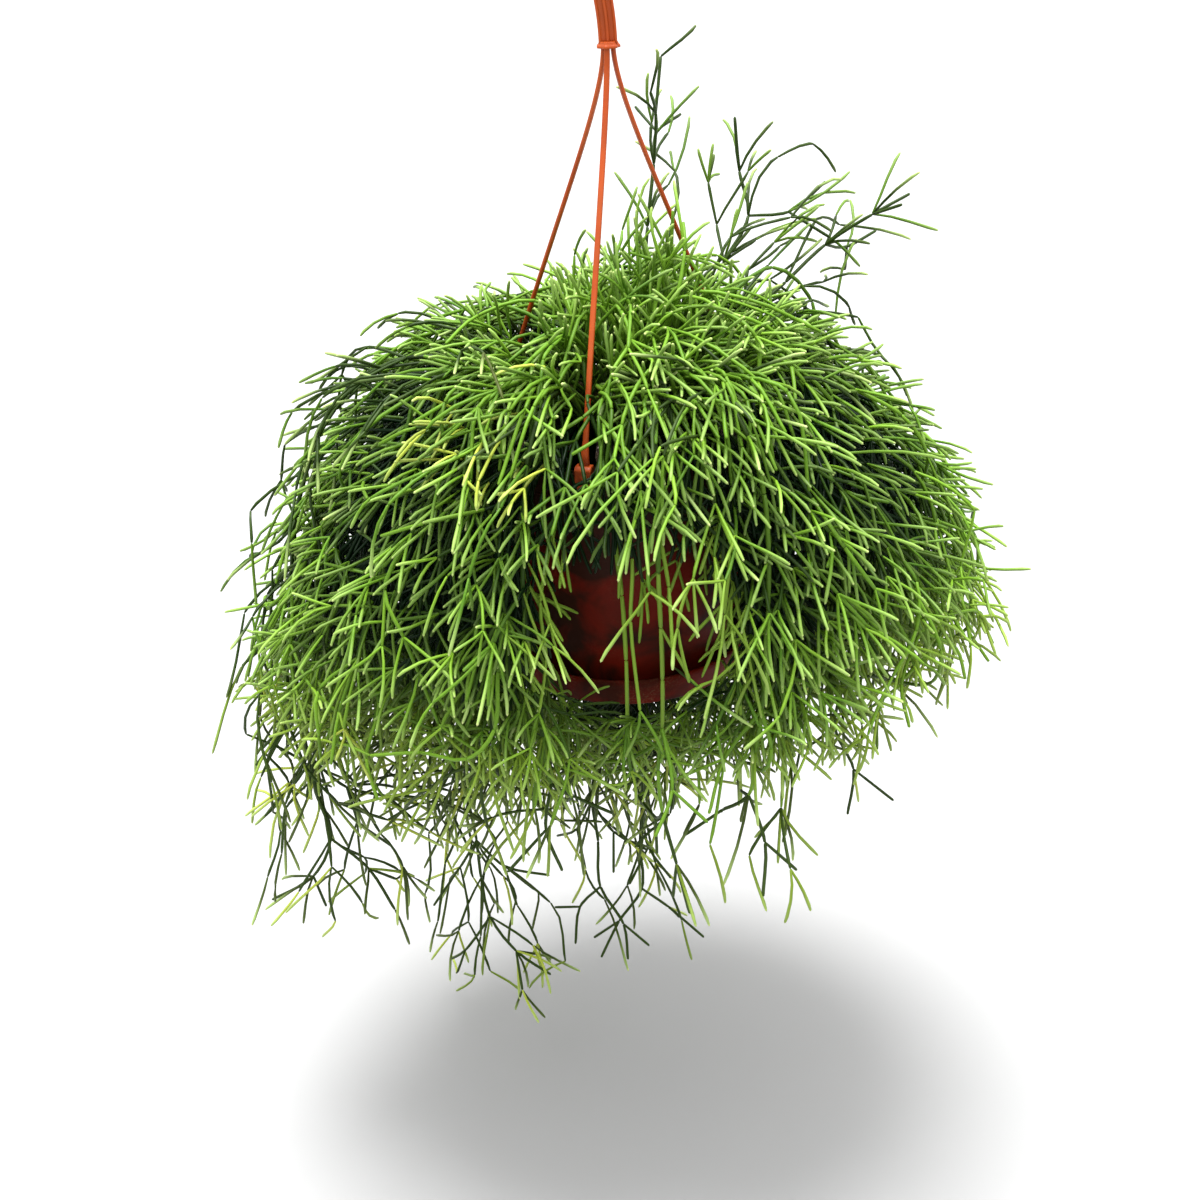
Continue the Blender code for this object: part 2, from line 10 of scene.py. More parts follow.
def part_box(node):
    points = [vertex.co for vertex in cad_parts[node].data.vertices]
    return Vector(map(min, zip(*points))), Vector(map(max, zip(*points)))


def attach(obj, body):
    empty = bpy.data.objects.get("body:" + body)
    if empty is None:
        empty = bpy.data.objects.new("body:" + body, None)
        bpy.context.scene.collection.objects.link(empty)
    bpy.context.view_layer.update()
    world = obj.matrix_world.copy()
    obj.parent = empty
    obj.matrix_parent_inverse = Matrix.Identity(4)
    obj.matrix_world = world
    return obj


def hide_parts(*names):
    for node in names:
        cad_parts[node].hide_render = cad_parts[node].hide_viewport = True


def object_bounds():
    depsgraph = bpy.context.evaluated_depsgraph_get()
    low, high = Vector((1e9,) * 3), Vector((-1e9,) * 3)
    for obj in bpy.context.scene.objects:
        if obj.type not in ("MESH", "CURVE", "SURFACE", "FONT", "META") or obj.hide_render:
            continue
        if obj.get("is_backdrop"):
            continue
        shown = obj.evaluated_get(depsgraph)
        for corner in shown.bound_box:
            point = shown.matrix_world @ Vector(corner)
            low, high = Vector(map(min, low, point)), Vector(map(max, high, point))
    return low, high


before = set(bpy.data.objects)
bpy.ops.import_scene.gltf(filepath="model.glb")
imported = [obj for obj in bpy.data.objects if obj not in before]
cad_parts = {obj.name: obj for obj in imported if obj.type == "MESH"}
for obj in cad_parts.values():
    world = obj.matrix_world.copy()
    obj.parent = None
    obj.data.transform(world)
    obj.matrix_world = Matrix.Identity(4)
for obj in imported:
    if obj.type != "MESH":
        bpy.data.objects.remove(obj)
cad_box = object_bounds()

# ------------------------------------------------------------------------------------------------------------
# Camera. It stands a little above the pot's rim and looks down on the plant, less than a metre away. It leans
# by a few degrees, as a camera held by hand does.

rim_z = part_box("pot")[1][2]
CAMERA_PLACE = Vector((0, -0.819, rim_z + 0.299))
CAMERA_AIM = Vector((-0.0144, 0, rim_z - 0.0962))
CAMERA_LENS = 53.2
CAMERA_LEAN = math.radians(-2.5)

camera = bpy.data.objects.new("camera", bpy.data.cameras.new("camera"))
bpy.context.collection.objects.link(camera)
bpy.context.scene.camera = camera
camera.data.lens = CAMERA_LENS
camera.location = CAMERA_PLACE
camera.rotation_mode = "QUATERNION"
look = (CAMERA_AIM - CAMERA_PLACE).to_track_quat("-Z", "Y")
camera.rotation_quaternion = look @ Quaternion((0, 0, 1), CAMERA_LEAN)

# ------------------------------------------------------------------------------------------------------------
# Studio. A wide pale floor below the lowest tips, a white surround that is brightest overhead, and one broad
# lamp nearly overhead, a little to the left and behind, that throws a soft shadow.

FLOOR_BELOW_RIM = 0.418
FLOOR_SIZE = 60
FLOOR_SHADE = 0.31
FLOOR_ROUGHNESS = 0.9
FLOOR_GLOSS = 0.1
SURROUND_TOP = 3.2
SURROUND_SIDE = 0.35
LAMP_STRENGTH = 6.2
LAMP_WIDTH = math.radians(27)
LAMP_FROM = Vector((-0.05, 0.06, 1))


def node(tree, kind, inputs=None, **settings):
    """Adds a node to a tree. Each input is set to a value, or linked if it is another node's output."""
    made = tree.nodes.new(kind)
    for name, value in settings.items():
        setattr(made, name, value)
    for name, value in (inputs or {}).items():
        if isinstance(value, bpy.types.NodeSocket):
            tree.links.new(value, made.inputs[name])
        else:
            made.inputs[name].default_value = value
    return made


def noise(tree, where, scale, detail, distortion=0.0):
    """Soft noise in space, whose grain is finer as scale grows."""
    settings = {"Vector": where, "Scale": scale, "Detail": detail, "Distortion": distortion}
    return node(tree, "ShaderNodeTexNoise", settings).outputs["Fac"]


def rising(tree, value, begin, finish, low=0.0, high=1.0):
    """Goes from low to high as value goes from begin to finish."""
    ends = {"Value": value, "From Min": begin, "From Max": finish, "To Min": low, "To Max": high}
    return node(tree, "ShaderNodeMapRange", ends).outputs[0]


def worked_out(tree, operation, *values):
    """What one operation makes of its values."""
    return node(tree, "ShaderNodeMath", dict(enumerate(values)), operation=operation).outputs[0]


def mixed(tree, factor, a, b):
    """A colour between a and b, nearer to b as factor grows."""
    return node(tree, "ShaderNodeMix", {"Factor": factor, "A": a, "B": b}, data_type="RGBA").outputs["Result"]


def new_material(name):
    """A material with its Principled shader: (material, tree, shader)."""
    made = bpy.data.materials.new(name)
    made.use_nodes = True
    return made, made.node_tree, made.node_tree.nodes["Principled BSDF"]


floor_mesh = bpy.data.meshes.new("floor")
half = FLOOR_SIZE / 2
floor_z = rim_z - FLOOR_BELOW_RIM
corners = [(-half, -half, floor_z), (half, -half, floor_z), (half, half, floor_z), (-half, half, floor_z)]
floor_mesh.from_pydata(corners, [], [(0, 1, 2, 3)])
floor = bpy.data.objects.new("floor", floor_mesh)
bpy.context.collection.objects.link(floor)
floor_paint, _, shader = new_material("floor_paint")
shader.inputs["Base Color"].default_value = (FLOOR_SHADE, FLOOR_SHADE, FLOOR_SHADE, 1)
shader.inputs["Roughness"].default_value = FLOOR_ROUGHNESS
shader.inputs["Specular IOR Level"].default_value = FLOOR_GLOSS
floor_mesh.materials.append(floor_paint)
floor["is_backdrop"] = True

world = bpy.data.worlds.new("surround")
bpy.context.scene.world = world
world.use_nodes = True
sky = world.node_tree
way = node(sky, "ShaderNodeTexCoord").outputs["Generated"]
height = node(sky, "ShaderNodeSeparateXYZ", {0: way}).outputs["Z"]
rise = rising(sky, height, 0, 1, SURROUND_SIDE, SURROUND_TOP)
seen = node(sky, "ShaderNodeLightPath").outputs["Is Camera Ray"]
sky.links.new(worked_out(sky, "MAXIMUM", rise, seen), sky.nodes["Background"].inputs["Strength"])
sky.nodes["Background"].inputs["Color"].default_value = (1, 1, 1, 1)

lamp = bpy.data.objects.new("lamp", bpy.data.lights.new("lamp", "SUN"))
bpy.context.collection.objects.link(lamp)
lamp.data.energy = LAMP_STRENGTH
lamp.data.angle = LAMP_WIDTH
lamp.rotation_mode = "QUATERNION"
lamp.rotation_quaternion = LAMP_FROM.to_track_quat("Z", "Y")
bpy.context.scene.view_settings.view_transform = "Standard"

# ------------------------------------------------------------------------------------------------------------
# Pot. One thin moulding of dark terracotta-red polypropylene: a banded rim, a tapered wall, a foot ring that
# the saucer snaps onto, and a drain hole. Its dull satin skin has faint flow marks, dust and water stains,
# and painted shade darkens it in a band just below the rim, where the foliage would shade it.

rim_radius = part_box("pot")[1][0]
pot_height = 0.120
pot_base = 0.051
wall = 0.0017
drain = 0.005
RIM_BAND = 0.014
BAND_INNER_RADIUS = 0.0644
FOOT_RADIUS = 0.046
OUT_OF_ROUND = 0.0015
TURNS = 112
POT_RED = (0.120, 0.0052, 0.0010, 1)
POT_PALE = (0.175, 0.012, 0.003, 1)
DUST_COLOUR = (0.20, 0.11, 0.06, 1)
# Damp stains and the painted shade below the rim both mix towards this colour.
STAIN_AND_SHADE_COLOUR = (0.016, 0.007, 0.003, 1)
# Painted shade: the pot darkens towards its rim between these two depths, as in the foliage's shadow.
PAINTED_SHADE_FROM = 0.060  # below the rim
PAINTED_SHADE_TO = 0.026


def rounded(points, radius, steps=4):
    """An outline with eased corners.

    Each corner b becomes the curve (1 - t)^2 a + 2 t (1 - t) b + t^2 c. Its ends a and c lie on the two sides
    of the corner, at most radius away from it.
    """
    points = np.asarray(points, float)
    before, after = np.roll(points, 1, axis=0) - points, np.roll(points, -1, axis=0) - points
    lengths = [np.maximum(np.linalg.norm(v, axis=1)[:, None], 1e-9) for v in (before, after)]
    most = 0.45  # of a side's length
    reach = [np.minimum(radius / length, most) for length in lengths]
    start, end = points + before * reach[0], points + after * reach[1]
    t = np.linspace(0, 1, steps)[None, :, None]
    eased = (1 - t) ** 2 * start[:, None] + 2 * t * (1 - t) * points[:, None] + t**2 * end[:, None]
    return eased.reshape(-1, points.shape[1])


def rounded_open(points, radius):
    """An open outline with eased corners, whose two ends stay as they are."""
    return np.vstack([points[0], rounded(points, radius)[4:-4], points[-1]])


def enclosed(vertices, triangles):
    """The signed volume of triangles: the sum of a . (b x c) / 6."""
    a, b, c = (vertices[triangles[:, i]] for i in range(3))
    return np.einsum("ij,ij->i", a, np.cross(b, c)).sum() / 6


def make_piece(name, vertices, faces, material, attributes=None, smooth=True):
    """A mesh object from whole arrays, with its faces turned outwards.

    faces is a list of arrays, each of faces with the same number of corners. attributes holds arrays of one
    value for each vertex.
    """
    vertices = np.asarray(vertices, np.float32)
    fans = [np.stack([f[:, 0], f[:, i], f[:, i + 1]], 1) for f in faces for i in range(1, f.shape[1] - 1)]
    if enclosed(vertices.astype(float), np.vstack(fans)) < 0:
        faces = [f[:, ::-1] for f in faces]
    mesh = bpy.data.meshes.new(name)
    corners = np.concatenate([f.ravel() for f in faces]).astype(np.int32)
    sizes = np.concatenate([np.full(len(f), f.shape[1]) for f in faces]).astype(np.int32)
    mesh.vertices.add(len(vertices))
    mesh.vertices.foreach_set("co", vertices.ravel())
    mesh.loops.add(len(corners))
    mesh.loops.foreach_set("vertex_index", corners)
    mesh.polygons.add(len(sizes))
    mesh.polygons.foreach_set("loop_start", np.concatenate([[0], np.cumsum(sizes)[:-1]]).astype(np.int32))
    mesh.polygons.foreach_set("use_smooth", np.full(len(sizes), smooth))
    mesh.update(calc_edges=True)
    mesh.validate()
    for key, values in (attributes or {}).items():
        mesh.attributes.new(key, "FLOAT", "POINT").data.foreach_set("value", np.asarray(values, np.float32))
    mesh.materials.append(material)
    piece = bpy.data.objects.new(name, mesh)
    bpy.context.collection.objects.link(piece)
    return piece


def place(piece, slot, *nodes):
    """Puts a piece on the one body and hides the CAD nodes that it stands for. slot is not used."""
    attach(piece, "root")
    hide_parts(*nodes)


def grid_faces(rows, columns, row_loop, column_loop):
    """The quads of a grid of vertices, row by row. A loop joins the last row or column to the first."""
    i = np.arange(rows if row_loop else rows - 1)[:, None]
    j = np.arange(columns if column_loop else columns - 1)[None, :]
    k, m = (i + 1) % rows, (j + 1) % columns
    quads = np.stack([i * columns + j, k * columns + j, k * columns + m, i * columns + m], -1)
    return quads.reshape(-1, 4)


def tube_faces(rows, columns):
    """The faces of a tube of rings of vertices, row by row. Two poles follow the rings and close it."""
    first = np.arange(columns)
    last = first + (rows - 1) * columns
    top = np.stack([np.full(columns, rows * columns), first, np.roll(first, -1)], 1)
    bottom = np.stack([np.full(columns, rows * columns + 1), np.roll(last, -1), last], 1)
    return [grid_faces(rows, columns, False, True), top, bottom]


def repeated(faces, count, each):
    """The faces of count equal pieces, one after another, with each vertices in a piece."""
    shift = (np.arange(count) * each)[:, None, None]
    return [(part[None] + shift).reshape(-1, part.shape[1]) for part in faces]


def turned(profile, turns, closed, wobble=0.0):
    """Carries a profile of (radius, height) round the Z axis: x = r cos a, y = r sin a, z = height.

    An open profile starts and ends on the axis, where a pole closes it. wobble is how far it is out of round.
    """
    angle = np.arange(turns) * 2 * np.pi / turns
    radius, height = profile[:, 0][:, None], profile[:, 1][:, None]
    out = radius * (1 + wobble * np.sin(2 * angle + 0.7) + 0.5 * wobble * np.sin(3 * angle))
    grid = np.stack([out * np.cos(angle), out * np.sin(angle), height + 0 * angle], -1).reshape(-1, 3)
    rows = len(profile)
    if closed:
        return grid, [grid_faces(rows, turns, True, True)]
    poles = np.array([[0, 0, profile[0, 1]], [0, 0, profile[-1, 1]]])
    return np.vstack([grid[turns:-turns], poles]), tube_faces(rows - 2, turns)


def plastic_group():
    """Moulded plastic: cloudy colour, dust and dark damp stains in patches, satin skin, shallow flow marks.

    A band of painted shade, standing for the foliage's shadow over the rim, fades in from PAINTED_SHADE_FROM
    to
    PAINTED_SHADE_TO below the pot's rim. Dust and damp lie in patches of noise, which the inputs Dust and
    Stain make stronger or weaker.
    """
    group = bpy.data.node_groups.new("moulded_plastic", "ShaderNodeTree")
    for name, kind in (("Colour", "NodeSocketColor"), ("Pale", "NodeSocketColor")):
        group.interface.new_socket(name=name, in_out="INPUT", socket_type=kind)
    for name in ("Dust", "Stain", "Painted Shade", "Roughness"):
        group.interface.new_socket(name=name, in_out="INPUT", socket_type="NodeSocketFloat")
    group.interface.new_socket(name="Colour", in_out="OUTPUT", socket_type="NodeSocketColor")
    for name in ("Roughness", "Height"):
        group.interface.new_socket(name=name, in_out="OUTPUT", socket_type="NodeSocketFloat")
    given = node(group, "NodeGroupInput").outputs
    where = node(group, "ShaderNodeTexCoord").outputs["Object"]
    cloud, speck = noise(group, where, 38, 3), noise(group, where, 900, 2)
    stretched = node(group, "ShaderNodeMapping", {"Vector": where, "Scale": (60, 60, 9)}).outputs["Vector"]
    flow = noise(group, stretched, 1, 4)
    dusty = worked_out(group, "MULTIPLY", rising(group, cloud, 0.42, 0.68), rising(group, speck, 0.5, 0.72))
    dust = worked_out(group, "MULTIPLY", dusty, given["Dust"])
    body = mixed(group, rising(group, flow, 0.3, 0.75, high=0.55), given["Colour"], given["Pale"])
    damp = rising(group, noise(group, where, 30, 5, 0.6), 0.42, 0.57)
    stain = worked_out(group, "MULTIPLY", damp, given["Stain"])
    # Painted shade: a dark band that fades in towards the rim, where the foliage would shade the pot.
    level = node(group, "ShaderNodeSeparateXYZ", {0: where}).outputs["Z"]
    near_rim = rising(group, level, rim_z - PAINTED_SHADE_FROM, rim_z - PAINTED_SHADE_TO)
    painted_shade = worked_out(group, "MULTIPLY", near_rim, given["Painted Shade"])
    stain_and_shade = worked_out(group, "MAXIMUM", stain, painted_shade)
    rough = worked_out(group, "MULTIPLY_ADD", cloud, 0.16, given["Roughness"])
    result = {
        "Colour": mixed(group, stain_and_shade, mixed(group, dust, body, DUST_COLOUR), STAIN_AND_SHADE_COLOUR),
        "Roughness": worked_out(group, "MULTIPLY_ADD", dust, 0.4, rough),
        "Height": worked_out(group, "MULTIPLY_ADD", speck, 0.25, flow),
    }
    node(group, "NodeGroupOutput", result)
    return group


def plastic(name, colour, pale, dust, stain, painted_shade, roughness, gloss):
    """A material of moulded plastic. roughness is its least roughness, and gloss its specular level."""
    made, tree, shader = new_material(name)
    values = {"Colour": colour, "Pale": pale, "Dust": dust, "Stain": stain, "Painted Shade": painted_shade}
    values["Roughness"] = roughness
    skin = node(tree, "ShaderNodeGroup", values, node_tree=moulded_plastic)
    marks = {"Height": skin.outputs["Height"], "Strength": 0.25, "Distance": 0.0004}
    bump = node(tree, "ShaderNodeBump", marks)
    tree.links.new(skin.outputs["Colour"], shader.inputs["Base Color"])
    tree.links.new(skin.outputs["Roughness"], shader.inputs["Roughness"])
    tree.links.new(bump.outputs["Normal"], shader.inputs["Normal"])
    shader.inputs["Specular IOR Level"].default_value = gloss
    return made


def inner_radius(depth):
    """The pot's inside radius this far below the rim, under its band. The wall runs straight to the base."""
    share = (depth - RIM_BAND) / (pot_height - wall - RIM_BAND)
    return BAND_INNER_RADIUS + share * (pot_base - wall - BAND_INNER_RADIUS)


moulded_plastic = plastic_group()
# Only the pot takes the painted shade below its rim. The saucer and the hanger take none.
pot_looks = {"dust": 0.2, "stain": 0.88, "painted_shade": 0.95, "roughness": 0.4, "gloss": 0.1}
pot_plastic = plastic("pot_plastic", POT_RED, POT_PALE, **pot_looks)
pot_corners = [
    (rim_radius - 0.0004, 0),
    (rim_radius, -0.0006),
    (rim_radius, -0.013),
    (rim_radius - 0.0038, -0.0144),
    (pot_base + 0.0146, -0.020),
    (pot_base, -pot_height + 0.0015),
    (pot_base - 0.001, -pot_height),
    (FOOT_RADIUS, -pot_height),
    (FOOT_RADIUS, -pot_height - 0.0022),
    (0.0472, -pot_height - 0.0028),
    (0.0472, -pot_height - 0.0038),
    (0.0462, -pot_height - 0.006),
    (0.0444, -pot_height - 0.006),
    (0.0444, -pot_height),
    (drain, -pot_height),
    (drain, -pot_height + wall),
    (inner_radius(pot_height - wall), -pot_height + wall),
    (inner_radius(RIM_BAND), -RIM_BAND),
    (rim_radius - 0.0026, -0.012),
    (rim_radius - 0.0022, -0.0006),
    (rim_radius - 0.0018, 0),
]
pot_profile = rounded(pot_corners, 0.0007) + (0, rim_z)
pot = make_piece("pot_moulding", *turned(pot_profile, TURNS, True, wobble=OUT_OF_ROUND), pot_plastic)
place(pot, "pot_plastic", "pot")

# ------------------------------------------------------------------------------------------------------------
# Saucer. A shallow dish of the same plastic. A ring on its floor snaps over the pot's foot, and water that
# drains from the pot stands in the trough round it.

saucer_floor = -pot_height - 0.0063
saucer_corners = [
    (0, saucer_floor),
    (0.0001, saucer_floor),
    (0.0476, saucer_floor),
    (0.0476, -pot_height - 0.0023),
    (0.0464, -pot_height - 0.0016),
    (0.0464, -pot_height - 0.0008),
    (0.0482, -pot_height - 0.0005),
    (0.0494, -pot_height - 0.0012),
    (0.0494, saucer_floor),
    (0.053, saucer_floor),
    (0.0584, -pot_height + 0.008),
    (0.0594, -pot_height + 0.0086),
    (0.0603, -pot_height + 0.008),
    (0.0600, -pot_height + 0.006),
    (0.0548, saucer_floor - 0.0008),
    (0.0536, saucer_floor - wall),
    (0.0001, saucer_floor - wall),
    (0, saucer_floor - wall),
]
saucer_profile = rounded_open(saucer_corners, 0.0006) + (0, rim_z)
saucer_looks = {"dust": 0.9, "stain": 0.75, "painted_shade": 0.0, "roughness": 0.5, "gloss": 0.06}
saucer_plastic = plastic("saucer_plastic", POT_RED, POT_PALE, **saucer_looks)
saucer = make_piece("saucer_dish", *turned(saucer_profile, TURNS, False), saucer_plastic)
place(saucer, "pot_plastic", "saucer")

# ------------------------------------------------------------------------------------------------------------
# Soil. Moist peat with bark chips and a little perlite. It is filled to below the rim by hand, and has sunk a
# little near the wall.

soil_low, soil_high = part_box("soil")
soil_radius = soil_high[0]
SOIL_RINGS = 44
SOIL_TURNS = 128
SLOPE_FROM = 0.78  # share of the way out at which the soil starts to sink
SLOPE_DEPTH = 0.003
GROUND_WAVES = 14
GROUND_HEIGHT = 0.00045
CHIPS = 420
PERLITE_SHARE = 0.12
PEAT = (0.010, 0.007, 0.005, 1)
BARK = (0.085, 0.048, 0.026, 1)
PERLITE = (0.55, 0.50, 0.42, 1)
rng = np.random.default_rng(5)


def ripples(x, y, scale, count, power):
    """Uneven ground: the sum over i of sin((x cos a + y sin a) scale g^i + phase) / g^(i power).

    g is the growth, and each wave has its own random direction a and phase.
    """
    growth = 1.35
    height = 0 * x
    for i in range(count):
        turn, phase = rng.uniform(0, 2 * np.pi, 2)
        rate = scale * growth**i
        height += np.sin((x * np.cos(turn) + y * np.sin(turn)) * rate + phase) / growth ** (i * power)
    return height


def sunk(share):
    """How far the soil has sunk at this share of the way out to the wall."""
    return SLOPE_DEPTH * np.clip((share - SLOPE_FROM) / (1 - SLOPE_FROM), 0, 1)


def soil_surface():
    """The soil's top as a disc of rings that sinks near the wall, over a plain plug that fills the pot."""
    share = np.linspace(0, 1, SOIL_RINGS)[1:] ** 0.8
    turn = np.arange(SOIL_TURNS) * 2 * np.pi / SOIL_TURNS
    x, y = soil_radius * share[:, None] * np.cos(turn), soil_radius * share[:, None] * np.sin(turn)
    slope = -sunk(share)[:, None]
    rough = ripples(x, y, 120, GROUND_WAVES, 0.8) * GROUND_HEIGHT
    fade = np.clip((1 - share) / 0.06, 0, 1)[:, None]
    top = np.stack([x, y, soil_high[2] + slope + rough * fade], -1).reshape(-1, 3)
    bottom_radius = inner_radius(pot_height - wall) - 0.0003
    ring = np.stack([bottom_radius * np.cos(turn), bottom_radius * np.sin(turn), 0 * turn + soil_low[2]], -1)
    poles = np.array([[0, 0, soil_high[2]], [0, 0, soil_low[2]]])
    return np.vstack([top, ring, poles]), tube_faces(SOIL_RINGS, SOIL_TURNS)


def lumps(centres, sizes, rings=4, sides=6):
    """Crumbs: balls (sin a cos b, sin a sin b, cos a) of few faces, squashed, turned and made uneven."""
    count = len(centres)
    tilt = np.linspace(0, np.pi, rings + 2)[1:-1][:, None]
    turn = np.arange(sides) * 2 * np.pi / sides
    ball = np.stack([np.sin(tilt) * np.cos(turn), np.sin(tilt) * np.sin(turn), np.cos(tilt) + 0 * turn], -1)
    ball = np.vstack([ball.reshape(-1, 3), [[0, 0, 1], [0, 0, -1]]])
    shapes = ball[None] * sizes[:, None, :] * rng.uniform(0.75, 1.15, (count, len(ball), 1))
    spin = rng.uniform(0, 2 * np.pi, count)
    cos, sin = np.cos(spin)[:, None], np.sin(spin)[:, None]
    x, y = shapes[..., 0] * cos - shapes[..., 1] * sin, shapes[..., 0] * sin + shapes[..., 1] * cos
    vertices = np.stack([x, y, shapes[..., 2]], -1) + centres[:, None]
    return vertices.reshape(-1, 3), repeated(tube_faces(rings, sides), count, len(ball))


def joined(*parts):
    """Puts several (vertices, faces) together as one."""
    shift = np.cumsum([0] + [len(vertices) for vertices, _ in parts])
    faces = [f + start for (_, found), start in zip(parts, shift) for f in found]
    return np.vstack([vertices for vertices, _ in parts]), faces


def soil_material():
    """Dark moist peat, with browner bark in patches and pale perlite where the attribute pale says so."""
    made, tree, shader = new_material("potting_soil")
    where = node(tree, "ShaderNodeTexCoord").outputs["Object"]
    crumb = node(tree, "ShaderNodeTexVoronoi", {"Vector": where, "Scale": 420}).outputs["Distance"]
    grain = noise(tree, where, 260, 6)
    ramp = node(tree, "ShaderNodeValToRGB", {"Fac": grain})
    peat, bark = ramp.color_ramp.elements
    peat.position, peat.color = 0.36, PEAT
    bark.position, bark.color = 0.70, BARK
    pale = node(tree, "ShaderNodeAttribute", attribute_name="pale").outputs["Fac"]
    height = worked_out(tree, "ADD", grain, crumb)
    bump = node(tree, "ShaderNodeBump", {"Height": height, "Strength": 0.9, "Distance": 0.0012})
    tree.links.new(mixed(tree, pale, ramp.outputs["Color"], PERLITE), shader.inputs["Base Color"])
    tree.links.new(bump.outputs["Normal"], shader.inputs["Normal"])
    shader.inputs["Roughness"].default_value = 0.93
    return made


ground = soil_surface()
spread = 0.93 * soil_radius * np.sqrt(rng.uniform(0, 1, CHIPS))
turn = rng.uniform(0, 2 * np.pi, CHIPS)
centres = np.stack([spread * np.cos(turn), spread * np.sin(turn), 0 * turn + soil_high[2] - 0.0004], 1)
centres[:, 2] -= sunk(spread / soil_radius)
sizes = rng.uniform(0.0007, 0.0026, (CHIPS, 3)) * (1, 0.7, 0.45)
crumbs = lumps(centres, sizes)
perlite = np.repeat(rng.uniform(0, 1, CHIPS) < PERLITE_SHARE, len(crumbs[0]) // CHIPS)
soil_parts = joined(ground, crumbs)
pale = np.concatenate([np.zeros(len(ground[0])), perlite])
soil = make_piece("soil_fill", *soil_parts, soil_material(), {"pale": pale})
place(soil, "potting_soil", "soil")

# ------------------------------------------------------------------------------------------------------------
# Hook. A moulded bar of orange-red polypropylene with a rib along each edge and one down the middle. It bends
# over at the top to hang on a rail, and ends below in a flared collar that holds the strands.

HOOK_INNER_RADIUS = 0.012
HOOK_HALF_WIDTH = 0.0042
HOOK_HALF_DEPTH = 0.0025
WEB = 0.0010  # half the bar's depth between its ribs
BEND_FROM, BEND_TO = 212, -12  # degrees, round from +X
TIP_STEPS = np.radians([18, 36, 52, 66, 78, 86])
collar_foot = -0.075
collar_top = -0.0722
collar_radius = 0.0052
HANGER_ORANGE = (0.34, 0.046, 0.005, 1)
HANGER_PALE = (0.48, 0.110, 0.028, 1)


def bezier(points, share):
    """The point of a cubic Bezier curve at each share of its parameter."""
    t = np.asarray(share, float)[:, None]
    a, b, c, d = (np.asarray(p, float) for p in points)
    return (1 - t) ** 3 * a + 3 * t * (1 - t) ** 2 * b + 3 * t**2 * (1 - t) * c + t**3 * d


def hook_line():
    """The bar's middle line: a curve up the shank, then an arc of one radius over the bend."""
    radius = HOOK_INNER_RADIUS + HOOK_HALF_WIDTH
    turn = np.radians(np.linspace(BEND_FROM, BEND_TO, 60))
    bend = np.stack([0.0005 + radius * np.cos(turn), 0 * turn, radius * np.sin(turn) - HOOK_INNER_RADIUS], 1)
    foot = np.array([0, 0, collar_foot + 0.0008])
    tangent = np.array([np.sin(turn[0]), 0, -np.cos(turn[0])])
    shank = bezier((foot, foot + (0, 0, 0.027), bend[0] - 0.011 * tangent, bend[0]), np.linspace(0, 1, 30))
    return np.vstack([shank[:-1], bend])


def carried(line, side, outline, scale):
    """Carries an outline of (across, deep) along a line: line + scale (across * side + deep * along x side).

    side is the level direction that the outline's first number counts along. Poles close both ends.
    """
    along = np.gradient(line, axis=0)
    along /= np.linalg.norm(along, axis=1)[:, None]
    side = side - np.sum(side * along, 1)[:, None] * along
    side /= np.linalg.norm(side, axis=1)[:, None]
    deep = np.cross(along, side)
    across, down = outline[:, 0][None, :, None], outline[:, 1][None, :, None]
    rings = line[:, None] + scale[:, None, None] * (across * side[:, None] + down * deep[:, None])
    return np.vstack([rings.reshape(-1, 3), line[[0, -1]]]), tube_faces(len(line), len(outline))


rib = [(0.0008, WEB), (0.0006, 0.0023), (-0.0006, 0.0023), (-0.0008, WEB)]
face = [(HOOK_HALF_WIDTH, HOOK_HALF_DEPTH), (0.0032, HOOK_HALF_DEPTH), (0.0029, WEB), *rib, (-0.0029, WEB)]
face += [(-0.0032, HOOK_HALF_DEPTH), (-HOOK_HALF_WIDTH, HOOK_HALF_DEPTH)]
bar_outline = rounded(face + [(-a, -d) for a, d in face], 0.0005)
line = hook_line()
level = np.tile([0.0, 1.0, 0.0], (len(line), 1))
across = np.cross(level, np.gradient(line, axis=0))
ending = HOOK_HALF_WIDTH * np.sin(TIP_STEPS)
tip_way = line[-1] - line[-2]
tip_way /= np.linalg.norm(tip_way)
line = np.vstack([line, line[-1] + ending[:, None] * tip_way])
across = np.vstack([across, np.tile(across[-1], (len(ending), 1))])
scale = np.concatenate([np.ones(len(level)), np.cos(TIP_STEPS)])
hanger_looks = {"dust": 0.12, "stain": 0.15, "painted_shade": 0.0, "roughness": 0.25, "gloss": 0.2}
hanger_plastic = plastic("hanger_plastic", HANGER_ORANGE, HANGER_PALE, **hanger_looks)
bar = make_piece("hook_bar", *carried(line, across, bar_outline, scale), hanger_plastic)
place(bar, "hanger_plastic", "hook")

collar_hollow = collar_foot + 0.0008
LOBES = 7
LOBE_HEIGHT = 0.07
collar_corners = [
    (0, collar_hollow),
    (0.0001, collar_hollow),
    (0.0036, collar_hollow),
    (0.0042, collar_foot),
    (collar_radius, collar_foot),
    (collar_radius, collar_foot + 0.0010),
    (0.0044, collar_foot + 0.0018),
    (0.0041, collar_top),
    (0.0001, collar_top),
    (0, collar_top),
]
collar_mesh, collar_faces = turned(rounded_open(collar_corners, 0.0004), 72, False)
lobes = 1 + LOBE_HEIGHT * np.cos(LOBES * np.arctan2(collar_mesh[:, 1], collar_mesh[:, 0]))
is_flange = np.hypot(collar_mesh[:, 0], collar_mesh[:, 1]) > 0.0037
collar_mesh[:, :2] *= np.where(is_flange, lobes, 1)[:, None]
collar = make_piece("hook_collar", collar_mesh, collar_faces, hanger_plastic)
place(collar, "hanger_plastic", "hook")

